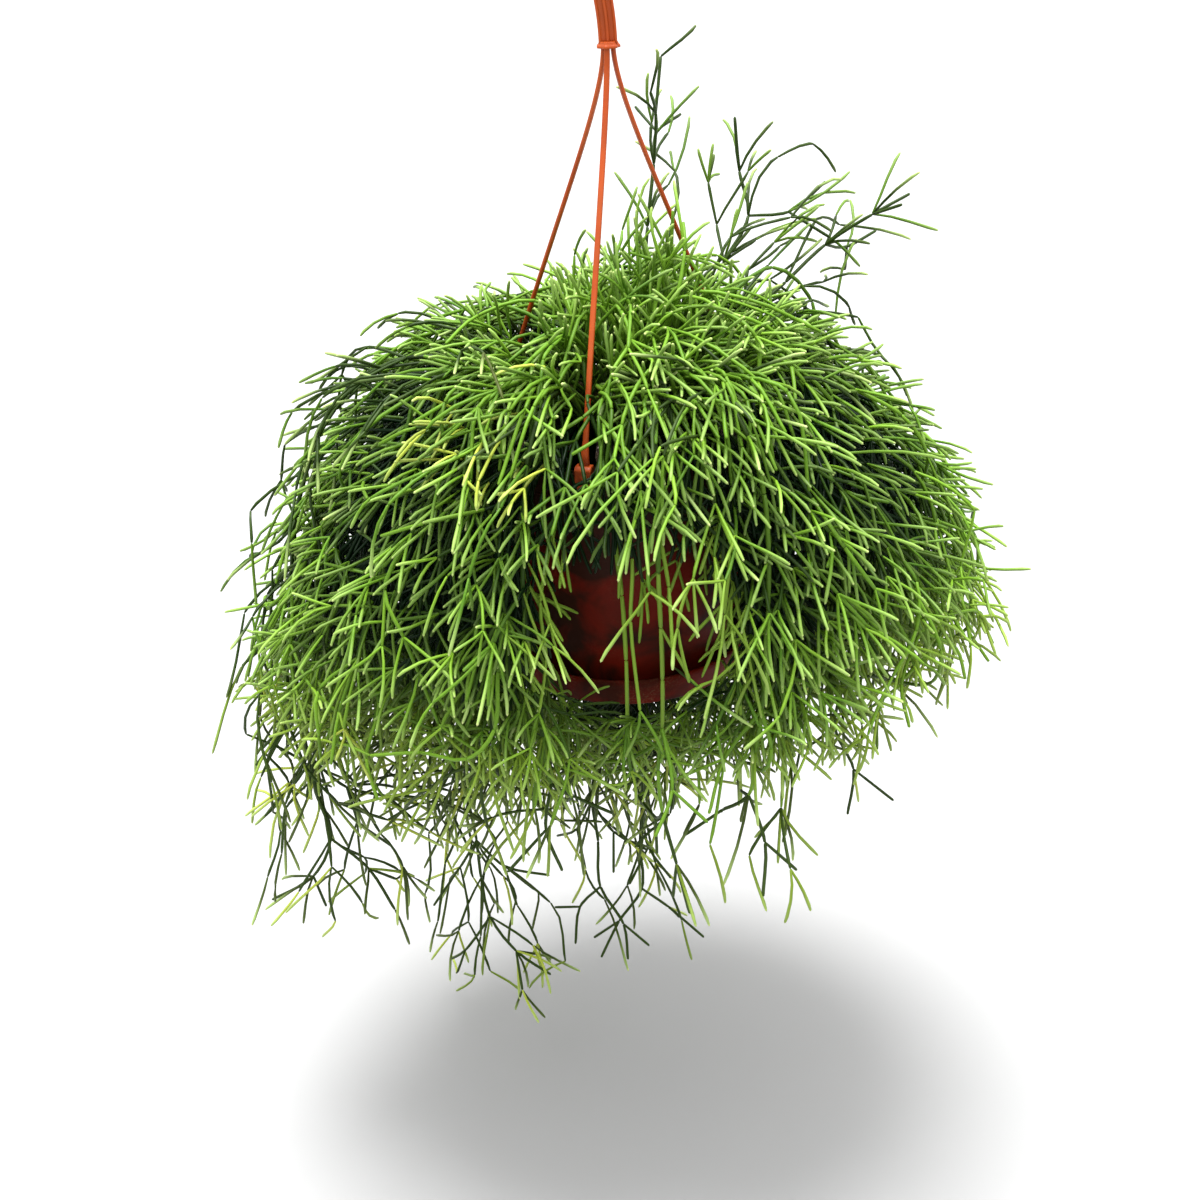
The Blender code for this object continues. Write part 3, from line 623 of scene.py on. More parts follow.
# ------------------------------------------------------------------------------------------------------------
# Strands. Three flat moulded strips run down out of the collar and spread to the rim. Each swells at its foot
# into a saddle clip that grips the pot's rim band.

STRAND_AZIMUTHS = {"strand_front": -15, "strand_right": 118, "strand_left": -120}
STRAND_POINTS = 46
STRIP_HALF_WIDTH = 0.00135
STRIP_HALF_DEPTH = 0.0009
CLIP_HALF_WIDTH = 0.004
CLIP_EDGE = 0.0004
CLIP_GAP = 0.0005  # between a clip and the outside of the rim


def outward(azimuth):
    """The level direction at this azimuth: 0 is the front, and it grows towards +X."""
    azimuth = np.asarray(azimuth)
    return np.stack([np.sin(azimuth), -np.cos(azimuth), 0 * azimuth], -1)


def strand_line(azimuth):
    """A strand's middle line: straight down out of the collar, then outwards to its clip on the rim."""
    way = outward(azimuth)
    top = way * 0.0024 + (0, 0, collar_foot + 0.0015)
    lean = way * 0.034 + (0, 0, rim_z + 0.096)
    foot = way * (rim_radius - 0.0011) + (0, 0, rim_z + 0.0019)
    return bezier((top, top - (0, 0, 0.026), lean, foot), np.linspace(0, 1, STRAND_POINTS))


def slab(outline, way, half_width):
    """A flat outline of (out, up) with eased edges, as thick as twice half_width, that faces along the rim.

    Its edge rings lie at -h, -h + e, h - e and h across, and the outermost two are drawn in by e.
    """
    ahead = np.roll(outline, -1, axis=0) - np.roll(outline, 1, axis=0)
    ahead /= np.linalg.norm(ahead, axis=1)[:, None]
    inward = np.stack([-ahead[:, 1], ahead[:, 0]], 1)
    area = np.sum(outline[:, 0] * np.roll(outline[:, 1], -1) - np.roll(outline[:, 0], -1) * outline[:, 1])
    drawn = outline + inward * CLIP_EDGE * np.sign(area)
    across = np.cross((0, 0, 1), way)
    flat = half_width - CLIP_EDGE
    rings = []
    for offset, shape in ((-half_width, drawn), (-flat, outline), (flat, outline), (half_width, drawn)):
        rings.append(shape[:, :1] * way + shape[:, 1:] * np.array([0, 0, 1]) + offset * across)
    columns = len(outline)
    first = np.arange(columns)
    caps = [first[None, ::-1], first[None] + 3 * columns]
    return np.vstack(rings), [grid_faces(4, columns, False, True), *caps]


inner, outer = rim_radius - 0.0048, rim_radius + 0.0024
clip_corners = [
    (outer, 0.0026),
    (outer, -0.009),
    (rim_radius + CLIP_GAP, -0.009),
    (rim_radius + CLIP_GAP, 0.0003),
    (rim_radius - 0.003, 0.0003),
    (rim_radius - 0.003, -0.007),
    (inner, -0.007),
    (inner, 0.0026),
    (rim_radius - 0.0032, 0.004),
    (rim_radius + 0.0008, 0.004),
]
clip_outline = rounded(clip_corners, 0.0007) + (0, rim_z)
strip_corners = np.array([(1, 1), (-1, 1), (-1, -1), (1, -1)]) * (STRIP_HALF_WIDTH, STRIP_HALF_DEPTH)
strip_outline = rounded(strip_corners, 0.0008)
for name, azimuth in STRAND_AZIMUTHS.items():
    azimuth = math.radians(azimuth)
    line = strand_line(azimuth)
    side = np.tile(np.cross((0, 0, 1), outward(azimuth)), (STRAND_POINTS, 1))
    scale = 1 + 1.1 * np.clip((np.linspace(0, 1, STRAND_POINTS) - 0.95) / 0.05, 0, 1) ** 1.5
    strip = make_piece(name + "_strip", *carried(line, side, strip_outline, scale), hanger_plastic)
    place(strip, "hanger_plastic", name)
    clip_mesh = slab(clip_outline, outward(azimuth), CLIP_HALF_WIDTH)
    clip = make_piece(name + "_clip", *clip_mesh, hanger_plastic, smooth=False)
    place(clip, "hanger_plastic", name)

# ------------------------------------------------------------------------------------------------------------
# Stems. Fifty-three stems root in the soil. Each is a chain of thin round fleshy segments that arches over
# the rim and hangs, and forks in whorls from the ends of its segments, ever shorter and thinner. Each is one
# piece: its main segments follow its CAD solid, and its twigs fill the plant's bell-shaped outline.

KNOT_SIZE = 0.005
SKIN_SIDES = 5
RINGS = np.array([0.02, 0.28, 0.57, 0.86, 0.985])
MAIN_SWELL = np.array([0.88, 1.0, 1.0, 1.0, 0.86])
TWIG_SWELL = np.array([0.72, 0.92, 0.98, 1.08, 0.74])
MAIN_THIN, MAIN_SPREAD = 0.00088, 0.00034  # radius at the tips, and how much more it is far from them
TWIG_LENGTHS = [0.029, 0.027, 0.025, 0.023, 0.022, 0.020, 0.019, 0.018]  # round by round
TWIG_TILT = math.radians(38)
TWIG_LEAST, SPRAY_TWIG_LEAST, TWIG_MOST = 0.00060, 0.00080, 0.00082  # radii
MOST_TWIGS = 15500
CELL = 0.0155
FIRST_SPRAY = 42  # the sprays are the stems from this number on, counted from 0
SPRAY_LENGTH = 1.2
SPRAY_REACH = 0.024  # a spray's twigs may stand this far from its knots
ARCHES = 110
CLOSE_ARCHES = 46
FRINGE_ARCHES = 54
ARCH_STEP = 0.034
GOLDEN_ANGLE = np.radians(137.508)
CENTRE_UP = 0.006  # the bell's centre above the rim
CREST_WAY = (0.26, 0.1, 1)
CREST_HEIGHT, CREST_WIDTH = 0.030, 0.25
BELL_SHOULDER = 0.138
BELL_BACK, BELL_FRONT_LESS, BELL_RIGHT_LESS = 0.290, 0.108, 0.022
WINDOW_MIDDLE, WINDOW_HALF_WIDTH, WINDOW_SLOPE = 0.004, 0.056, 0.43
WINDOW_ROOM = 0.13
GAP_BACK, GAP_FRONT, GAP_RADIUS, GAP_RISE = -0.004, 0.095, 0.0042, 0.3
GAP_LOWEST = {"strand_front": 0.004, "strand_left": 0.034}  # above the rim
random = np.random.default_rng(23)
CLUMP_WAVES = random.normal(0, 85, (6, 3))
CLUMP_PHASES = random.uniform(0, 2 * np.pi, 6)


def unit(vectors):
    """The vectors at length 1."""
    return vectors / np.maximum(np.linalg.norm(vectors, axis=-1, keepdims=True), 1e-12)


def read_stem(mesh):
    """The knots of a CAD stem: (place of each, its parent's number).

    Corners that edges shorter than KNOT_SIZE join are one knot, and each longer edge joins two knots. The
    knot nearest the soil is the root, which is its own parent.
    """
    flat = np.empty(len(mesh.vertices) * 3)
    mesh.vertices.foreach_get("co", flat)
    corners, same = np.unique(flat.reshape(-1, 3).round(6), axis=0, return_inverse=True)
    ends = np.empty(len(mesh.edges) * 2, np.int32)
    mesh.edges.foreach_get("vertices", ends)
    ends = same.ravel()[ends.reshape(-1, 2)]
    far = np.linalg.norm(corners[ends[:, 0]] - corners[ends[:, 1]], axis=1) > KNOT_SIZE
    label = np.arange(len(corners))
    settled = False
    while not settled:
        lowest = label.copy()
        np.minimum.at(lowest, ends[~far, 0], label[ends[~far, 1]])
        np.minimum.at(lowest, ends[~far, 1], label[ends[~far, 0]])
        settled = np.array_equal(lowest, label)
        label = lowest
    knot = np.unique(label, return_inverse=True)[1].ravel()
    size = np.bincount(knot)
    places = np.stack([np.bincount(knot, corners[:, i]) for i in range(3)], 1) / size[:, None]
    pairs = np.unique(np.sort(knot[ends[far]], axis=1), axis=0)
    pairs = np.vstack([pairs, pairs[:, ::-1]])
    over_soil = np.hypot(places[:, 0], places[:, 1]) < soil_radius
    root = np.argmin(np.where(over_soil, np.abs(places[:, 2] - soil_high[2]), 1))
    parent = np.full(len(size), -1)
    parent[root] = root
    for _ in range(len(size)):
        reached = (parent[pairs[:, 0]] >= 0) & (parent[pairs[:, 1]] < 0)
        if not reached.any():
            break
        parent[pairs[reached, 1]] = pairs[reached, 0]
    kept = parent >= 0
    renumber = np.cumsum(kept) - 1
    return places[kept], renumber[parent[kept]]


def bell(azimuth, latitude):
    """How far the leafy mass reaches from its centre, at an azimuth and an angle from straight up.

    The crown is a low dome on a rounded shoulder. A crest of CREST_HEIGHT exp(-(angle / CREST_WIDTH)^2)
    stands up from it a little right of the axis. Below the shoulder the radius grows down to the skirt, which
    is largest at the back, less on the right and least in front, where the pot shows.
    """
    front, right = np.clip(np.cos(azimuth), 0, 1), np.clip(np.sin(azimuth), 0, 1)
    left = np.clip(-np.sin(azimuth), 0, 1)
    steep = np.degrees(latitude)
    crown = np.interp(steep, [0, 15, 30, 50, 70, 88], [0.076, 0.074, 0.073, 0.082, 0.109, BELL_SHOULDER])
    way = outward(azimuth) * np.sin(latitude)[..., None] + np.cos(latitude)[..., None] * [0, 0, 1]
    aside = np.arccos(np.clip(way @ unit(np.array(CREST_WAY)), -1, 1))
    hang = BELL_BACK - BELL_FRONT_LESS * front**1.3 - BELL_RIGHT_LESS * right
    skirt = np.clip((steep - 88) / 48, 0, 1) ** (1.2 + 0.25 * left)
    crest = CREST_HEIGHT * np.exp(-((aside / CREST_WIDTH) ** 2))
    return crown + crest + (hang - BELL_SHOULDER) * skirt


def hem(azimuth):
    """How far below the rim the leafy mass ends: lowest at the back, and high in front and on the right."""
    turn = [-180, -135, -90, -60, -35, -15, 25, 45, 60, 90, 120, 150, 180]
    depth = [260, 225, 160, 136, 142, 158, 162, 136, 112, 116, 174, 230, 260]
    return -np.interp(np.degrees(azimuth), turn, depth) / 1000


def around(points):
    """Azimuth, distance out from the axis and height above the rim of points."""
    return np.arctan2(points[:, 0], -points[:, 1]), np.hypot(points[:, 0], points[:, 1]), points[:, 2] - rim_z


def depth_in_bell(points):
    """Each point's distance from the plant's centre, as a share of the way out to the outline."""
    azimuth, out, up = around(points)
    latitude = np.arctan2(out, up - CENTRE_UP)
    return np.hypot(out, up - CENTRE_UP) / bell(azimuth, latitude)


def pull(points):
    """The way that shoots tend to grow: up at the crown, outwards at the shoulder and down at the skirt.

    It is outward * sin(0.9 a) + up * cos(1.25 a), where a is the angle from straight up.
    """
    azimuth, out, up = around(points)
    latitude = np.arctan2(out, up - CENTRE_UP)
    return outward(azimuth) * np.sin(0.9 * latitude)[:, None] + np.cos(1.25 * latitude)[:, None] * [0, 0, 1]


def in_window(points):
    """True in front of the pot, where only a few separate stems hang and the pot shows between them.

    The window is as wide as the pot's middle. Its top and its bottom both slope down towards the pot, and its
    top is lower at the sides.
    """
    _, out, up = around(points)
    across = np.abs(points[:, 0] - WINDOW_MIDDLE)
    top = -WINDOW_SLOPE * (0.159 - out) - 6 * np.clip(across - 0.040, 0, 1)
    bottom = -0.120 + WINDOW_SLOPE * (out - 0.055)
    return (across < WINDOW_HALF_WIDTH) & (points[:, 1] < 0) & (up < top) & (up > bottom)


def parted(points):
    """True where the growth parts in front of the front and left strands.

    The gap runs from the strand to the front, GAP_RADIUS to each side, and rises by GAP_RISE in 1.
    """
    gap = np.zeros(len(points), bool)
    for name, lowest in GAP_LOWEST.items():
        line = strand_line(math.radians(STRAND_AZIMUTHS[name]))
        line = line[line[:, 2] - rim_z > lowest]
        ahead = line[None, :, 1] - points[:, None, 1]
        aside = points[:, None, 0] - line[None, :, 0]
        above = points[:, None, 2] - line[None, :, 2] - GAP_RISE * ahead
        gap |= ((ahead > GAP_BACK) & (ahead < GAP_FRONT) & (np.hypot(aside, above) < GAP_RADIUS)).any(1)
    return gap


def clumps(points):
    """How thick the outer growth is, from 0.35 in gaps to 1.5 in clumps: a sum of sine waves in space."""
    total = 0
    for wave, phase in zip(CLUMP_WAVES, CLUMP_PHASES):
        total = total + np.sin(points @ wave + phase)
    return np.clip(0.95 + 0.42 * total, 0.35, 1.5)


def room_for(points):
    """How many twigs fit in a small cube of space there, from none outside the plant to 2.6 in the shell.

    The fringe over the front of the rim and the crown hold about twice as many, the hem and the window few.
    """
    azimuth, out, up = around(points)
    slim = np.clip(np.sin(azimuth), 0, 1) * np.exp(-(((np.degrees(np.arctan2(out, up)) - 82) / 22) ** 2))
    depth = depth_in_bell(points) * (1 + 0.06 * slim)
    inside = np.interp(depth, [0.4, 0.6, 0.8, 0.92, 0.99, 1.06], [1.0, 1.9, 2.6, 2.5, 0.5, 0.0])
    fringe = (np.abs(azimuth) < 0.75) & (up < 0.055) & (out < 0.13)
    inside *= np.where((depth > 0.78) & ~fringe, clumps(points), 1)
    inside = np.maximum(inside, np.where((depth > 0.98) & (depth < 1.17) & (up > -0.1), 0.13, 0))
    inside *= np.where(fringe, 2.0, np.where((up > 0.03) & (out < 0.09), 1.9, 1))
    below = (hem(azimuth) + 0.008 - up) / 0.1
    inside *= np.interp(below, [-0.1, 0.1, 0.5, 1.0], [1, 0.22, 0.08, 0.0])
    return np.where(in_window(points), WINDOW_ROOM, inside)


def clear_of_pot(points):
    """True for points outside the pot, the saucer and the soil."""
    _, out, up = around(points)
    wall_out = np.where(up > -0.016, rim_radius, rim_radius - 0.004 + (up + 0.016) * 0.145)
    in_pot = (out < wall_out + 0.004) & (up < 0.004) & (up > -pot_height - 0.008)
    in_saucer = (out < 0.064) & (up < -pot_height + 0.012) & (up > -pot_height - 0.014)
    over_soil = (out < soil_radius - 0.004) & (up > soil_high[2] - rim_z - 0.001)
    return ~(in_pot | in_saucer) | over_soil


def clear_of_strands(points):
    """True for points at least 3 mm from the strands' middle lines and 9 mm from their clips."""
    clear = np.ones(len(points), bool)
    for azimuth in STRAND_AZIMUTHS.values():
        line = strand_line(math.radians(azimuth))
        line = np.vstack([(line[1:] + line[:-1]) / 2, line])
        clear &= np.linalg.norm(points[:, None] - line[None], axis=2).min(1) > 0.003
        clear &= np.linalg.norm(points - line[-1] + (0, 0, 0.003), axis=1) > 0.009
    return clear


def placed(azimuth, out, up):
    """The points at these azimuths, distances out from the axis and heights above the rim."""
    return outward(azimuth) * out[:, None] + (rim_z + up)[:, None] * [0, 0, 1]


def arch_ends(count):
    """Where arches over the bell go, as (root, rise, shoulder, end) for each.

    Stems rooted further out end lower. In front they end above the window, but for a few that hang across it.
    """
    number = np.arange(count)
    share = np.sqrt((number + 0.5) / count)
    azimuth = (number * GOLDEN_ANGLE + 2.1 + np.pi) % (2 * np.pi) - np.pi
    latitude = np.arccos(1 - (1 - np.cos(np.radians(134))) * share**1.1)
    depth = random.uniform(0.72, 0.97, count)
    far = bell(azimuth, latitude) * depth
    front_low = np.where(number % 4 == 0, -0.11, 0.0)
    low = np.where(np.abs(azimuth) < np.radians(26), front_low, hem(azimuth) + 0.01)
    over = np.maximum(latitude - 0.85, 0.25)
    high = bell(azimuth, over) * depth
    level = soil_high[2] - rim_z + 0 * share
    root = placed(azimuth, 0.044 * share, level)
    rise = placed(azimuth, 0.044 * share + 0.006, level + 0.046 + 0.03 * (1 - share))
    shoulder = placed(azimuth, high * np.sin(over), 0.02 + high * np.cos(over))
    end = placed(azimuth, far * np.sin(latitude), np.maximum(far * np.cos(latitude) + CENTRE_UP, low))
    return np.stack([root, rise, shoulder, end], 1)


def close_ends(count):
    """Where arches close to the pot go, beside and behind it, as (root, rise, shoulder, end) for each."""
    azimuth = np.radians(np.linspace(40, 320, count) + random.uniform(-3, 3, count))
    azimuth = (azimuth + np.pi) % (2 * np.pi) - np.pi
    out = random.uniform(0.068, 0.112, count)
    level = soil_high[2] - rim_z + 0 * out
    root = placed(azimuth, 0.044 + 0 * out, level)
    rise = placed(azimuth, 0.046 + 0 * out, level + 0.06)
    shoulder = placed(azimuth, 0.65 * out + 0.062, 0.092 + 0 * out)
    end = placed(azimuth, out, hem(azimuth) + random.uniform(-0.005, 0.06, count))
    return np.stack([root, rise, shoulder, end], 1)


def fringe_ends(count):
    """Where arches that droop over the front of the rim go, as (root, rise, shoulder, end) for each."""
    azimuth = np.radians(np.linspace(-48, 48, count) + random.uniform(-1.5, 1.5, count))
    out = random.uniform(0.084, 0.128, count)
    level = soil_high[2] - rim_z + 0 * out
    root = placed(azimuth, 0.040 + 0 * out, level)
    rise = placed(azimuth, 0.042 + 0 * out, level + 0.055)
    shoulder = placed(azimuth, 0.6 * out + 0.048, 0.068 + 0 * out)
    end = placed(azimuth, out, random.uniform(-0.004, 0.034, count))
    return np.stack([root, rise, shoulder, end], 1)


def arches():
    """More main stems, which arch from the soil over the rim inside the bell: (knots, parents, owners).

    Each follows a cubic Bezier curve from its root up, over the shoulder and down to its end, in even steps,
    and belongs to the stem that roots nearest to it. Those that would touch the pot or a strand are left out.
    """
    found, parent, nearest = [], [], []
    ways = [arch_ends(ARCHES), close_ends(CLOSE_ARCHES), fringe_ends(FRINGE_ARCHES)]
    for points in np.concatenate(ways):
        fine = bezier(points, np.linspace(0, 1, 80))
        length = np.concatenate([[0], np.cumsum(np.linalg.norm(np.diff(fine, axis=0), axis=1))])
        steps = max(4, round(length[-1] / ARCH_STEP) + 1)
        even = np.linspace(0, length[-1], steps)
        line = np.stack([np.interp(even, length, fine[:, i]) for i in range(3)], 1)
        line[1:] += random.normal(0, 0.0035, (steps - 1, 3))
        tested = np.vstack([fine, line[1:], (line[1:] + line[:-1]) / 2])
        if not (clear_of_pot(tested).all() and clear_of_strands(tested).all()) or parted(fine).any():
            continue
        begin = sum(map(len, found))
        parent.append(np.concatenate([[begin], begin + np.arange(steps - 1)]))
        nearest.append(np.full(steps, np.argmin(np.linalg.norm(roots - line[0], axis=1))))
        found.append(line)
    return np.vstack(found), np.concatenate(parent), np.concatenate(nearest)


# The knots of all the stems together, with each one's parent and the number of the stem that it is on.
places, parents, owners, roots = [], [], [], []
stem_names = sorted(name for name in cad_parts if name.startswith("stem_"))
for number, name in enumerate(stem_names):
    found, parent = read_stem(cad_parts[name].data)
    parents.append(parent + sum(map(len, places)))
    places.append(found)
    owners.append(np.full(len(found), number))
    roots.append(found[parent == np.arange(len(found))][0])
roots = np.array(roots)
more, more_parents, more_owners = arches()
parents.append(more_parents + sum(map(len, places)))
places.append(more)
owners.append(more_owners)
knots, parent, owner = np.vstack(places), np.concatenate(parents), np.concatenate(owners)
knot_count = len(knots)
is_root = parent == np.arange(knot_count)
heading = np.where(is_root[:, None], [0, 0, 1], unit(knots - knots[parent]))
to_tip = np.zeros(knot_count)
for _ in range(40):
    np.maximum.at(to_tip, parent[~is_root], to_tip[~is_root] + 1)

# Main segments, from each knot's parent to the knot, smoothly joined to the segment that goes straight on.
child = np.flatnonzero(~is_root)
straight = np.einsum("ij,ij->i", heading[child], heading[parent[child]])
best = np.full(knot_count, -1.0)
np.maximum.at(best, parent[child], straight)
goes_on = straight >= best[parent[child]] - 1e-9
onward = heading.copy()
onward[parent[child[goes_on]]] = unit(heading[parent[child[goes_on]]] + heading[child[goes_on]])
leaving = np.where(goes_on[:, None], onward[parent[child]], heading[child])
thick = MAIN_THIN + MAIN_SPREAD * np.clip(to_tip / 9, 0, 1)
segments = {
    "start": knots[parent[child]],
    "end": knots[child],
    "leaving": leaving,
    "arriving": onward[child],
    "wide_start": thick[parent[child]] * np.where(goes_on, 1, 0.85),
    "wide_end": thick[child],
    "owner": owner[child],
    "order": np.zeros(len(child)),
    "tone": (0.4 + random.uniform(-0.15, 0.15, len(stem_names)))[owner[child]],
    "whorl": np.zeros(len(child), int),
    "tip": np.zeros(len(child)),
}


def sprout(source, count, tilt, length, droop, finer):
    """The twigs that leave the ends of the source segments in whorls.

    Each whorl's count of twigs is spread evenly round the segment's arriving direction d, each turned away
    from it by about tilt: way = cos(tilt) d + sin(tilt) (cos f * u + sin f * v), then leaned towards the pull
    by droop. finer is how wide each twig is beside the segment that it leaves.
    """
    who = np.repeat(np.arange(len(source["end"])), count)
    place = np.arange(len(who)) - np.repeat(np.cumsum(count) - count, count)
    first = random.uniform(0, 2 * np.pi, len(count))
    turn = first[who] + 2 * np.pi * place / np.maximum(count[who], 1) + random.normal(0, 0.25, len(who))
    ahead = source["arriving"][who]
    u = unit(np.cross(ahead, random.normal(size=(len(count), 3))[who]))
    v = np.cross(ahead, u)
    lean = np.where(count[who] == 1, 0.45, 1) * random.normal(tilt, 0.22, len(who))
    aside = np.cos(turn)[:, None] * u + np.sin(turn)[:, None] * v
    way = np.cos(lean)[:, None] * ahead + np.sin(lean)[:, None] * aside
    start = source["end"][who]
    way = unit(way + droop * pull(start))
    reach = length[who] * np.exp(random.normal(0, 0.2, len(count))[who] + random.normal(0, 0.15, len(who)))
    end = start + way * reach[:, None]
    sag = np.array([0, 0, -1]) * random.uniform(0.05, 0.4, len(who))[:, None]
    sag = sag + random.normal(0, 0.16, way.shape)
    least = np.where(source["owner"][who] >= FIRST_SPRAY, SPRAY_TWIG_LEAST, TWIG_LEAST)
    wide = np.clip(source["wide_end"][who] * finer, least, TWIG_MOST)
    return {
        "start": start,
        "end": end,
        "leaving": unit(way - sag + 0.35 * ahead),
        "arriving": unit(way + sag),
        "wide_start": wide,
        "wide_end": wide,
        "owner": source["owner"][who],
        "order": source["order"][who] + 1,
        "tone": source["tone"][who] + 0.03 + random.normal(0, 0.09, len(count))[who],
        "whorl": who,
        "tip": np.ones(len(who)),
    }


def chosen(twigs, keep):
    """Only those twigs for which keep is true."""
    return {name: values[keep] for name, values in twigs.items()}


def with_room(twigs, taken):
    """True for the whorls that the plant has room for, in random order. No small cube of space gets too many.

    taken counts the twigs of the whorls that lie in each cube so far, which this brings up to date.
    """
    which, members = np.unique(twigs["whorl"], return_inverse=True)
    size = np.bincount(members)
    middle = (twigs["start"] + 2 * twigs["end"]) / 3
    middle = np.stack([np.bincount(members, middle[:, i]) for i in range(3)], 1) / size[:, None]
    cube = np.floor(middle / CELL).astype(int) + 100
    number = cube[:, 0] * 1_000_000 + cube[:, 1] * 1000 + cube[:, 2]
    chance = (np.sin(number * 12.9898) * 43758.5453) % 1  # the same for a cube every time
    room = room_for(middle)
    of_spray = np.bincount(members, twigs["owner"] >= FIRST_SPRAY) > 0
    of_spray &= twigs["order"][np.unique(twigs["whorl"], return_index=True)[1]] < 4
    low_room = np.where(middle[:, 0] < -0.06, 1.2, 0.5)
    own_room = np.where(middle[:, 2] > rim_z, 1.5, low_room)
    most = np.floor(np.where(of_spray, np.maximum(room, own_room), room) + chance)
    keep = np.zeros(len(which), bool)
    for i in random.permutation(len(which)):
        here = taken.get(number[i], 0)
        if here < most[i]:
            taken[number[i]] = here + size[i]
            keep[i] = True
    return keep[members]


def curve(parts, shares):
    """Points on each segment's middle line, at these shares t of the way along it.

    With a = start, b = end, and l and m the directions leaving and arriving times the segment's length, the
    line is (2 t^3 - 3 t^2 + 1) a + (t^3 - 2 t^2 + t) l + (3 t^2 - 2 t^3) b + (t^3 - t^2) m.
    """
    t = np.array(shares)[None, :, None]
    a, b = parts["start"][:, None], parts["end"][:, None]
    size = np.linalg.norm(b - a, axis=2, keepdims=True)
    leave, arrive = parts["leaving"][:, None] * size, parts["arriving"][:, None] * size
    begin, finish = 2 * t**3 - 3 * t**2 + 1, 3 * t**2 - 2 * t**3
    return begin * a + (t**3 - 2 * t**2 + t) * leave + finish * b + (t**3 - t**2) * arrive


def allowed(twigs):
    """True for twigs inside the plant's outline, or near their own spray's knots, and clear of the rest."""
    end = twigs["end"]
    near_own = np.zeros(len(end), bool)
    for number in range(FIRST_SPRAY, len(stem_names)):
        mine = np.flatnonzero(twigs["owner"] == number)
        own = knots[owner == number]
        if len(mine):
            near_own[mine] = np.linalg.norm(end[mine][:, None] - own[None], axis=2).min(1) < SPRAY_REACH
    tested = curve(twigs, [0.15, 0.3, 0.45, 0.6, 0.75, 0.9, 1]).reshape(-1, 3)
    free = (clear_of_pot(tested) & clear_of_strands(tested)).reshape(len(end), -1).all(1)
    low, high = np.array(cad_box[0]) - 0.015, np.array(cad_box[1]) + 0.015
    boxed = np.all((end > low) & (end < high), axis=1)
    for share in (0.25, 0.5, 0.75, 1):
        free &= ~parted(twigs["start"] + share * (end - twigs["start"]))
    return ((room_for(end) > 0.02) | near_own) & free & boxed


def grown(segments):
    """All the twigs, round by round. Each round sprouts from the ends of the round before."""
    _, out, up = around(segments["end"])
    tips = chosen(segments, (up > 0.012) | (out > rim_radius + 0.006))
    taken = {}
    rounds = []
    for number, length in enumerate(TWIG_LENGTHS):
        chances = [0.08, 0.1, 0.26, 0.28, 0.16, 0.08, 0.04] if number else [0, 0.1, 0.35, 0.35, 0.2]
        count = random.choice(len(chances), len(tips["end"]), p=chances)
        lengths = length * np.where(tips["owner"] >= FIRST_SPRAY, SPRAY_LENGTH, 1)
        new = sprout(tips, count, TWIG_TILT, lengths, droop=0.2, finer=0.95)
        new = chosen(new, allowed(new))
        new = chosen(new, with_room(new, taken))
        tips["tip"][np.unique(new["whorl"])] = 0
        rounds.append(new)
        tips = new
    return {name: np.concatenate([part[name] for part in rounds])[:MOST_TWIGS] for name in segments}


twigs = grown(segments)
everything = {name: np.concatenate([segments[name], twigs[name]]) for name in segments}


def rods(parts):
    """Each segment as a closed rod of five sides round its middle line.

    The ring at t has the radius (wide_start (1 - t) + wide_end t) swell(t). Two poles close the rod. The
    attributes tell the material where each corner is.
    """
    count = len(parts["end"])
    centre = curve(parts, RINGS)
    along = unit(curve(parts, RINGS + 0.005) - curve(parts, RINGS - 0.005))
    ref = random.normal(size=(count, 1, 3))
    u = unit(np.cross(along, ref))
    v = np.cross(along, u)
    turn = np.arange(SKIN_SIDES) * 2 * np.pi / SKIN_SIDES
    is_twig = parts["order"][:, None] > 0
    swell = np.where(is_twig, TWIG_SWELL, MAIN_SWELL)
    wide = parts["wide_start"][:, None] * (1 - RINGS) + parts["wide_end"][:, None] * RINGS
    radius = (wide * swell)[:, :, None, None]
    turn = turn[None, None, :, None]
    circle = np.cos(turn) * u[:, :, None] + np.sin(turn) * v[:, :, None]
    rings = (centre[:, :, None] + radius * circle).reshape(count, -1, 3)
    poles = np.stack([parts["start"] - 0.0002 * along[:, 0], parts["end"] + 0.0003 * along[:, -1]], 1)
    vertices = np.concatenate([rings, poles], 1)
    each = vertices.shape[1]
    faces = repeated(tube_faces(len(RINGS), SKIN_SIDES), count, each)
    share = np.concatenate([np.repeat(RINGS, SKIN_SIDES), [0, 1]])
    attributes = {"along": np.tile(share, count)}
    for name in ("tone", "young", "wood", "tip", "dark", "inner"):
        attributes[name] = np.repeat(parts[name], each)
    return vertices.reshape(-1, 3), faces, attributes


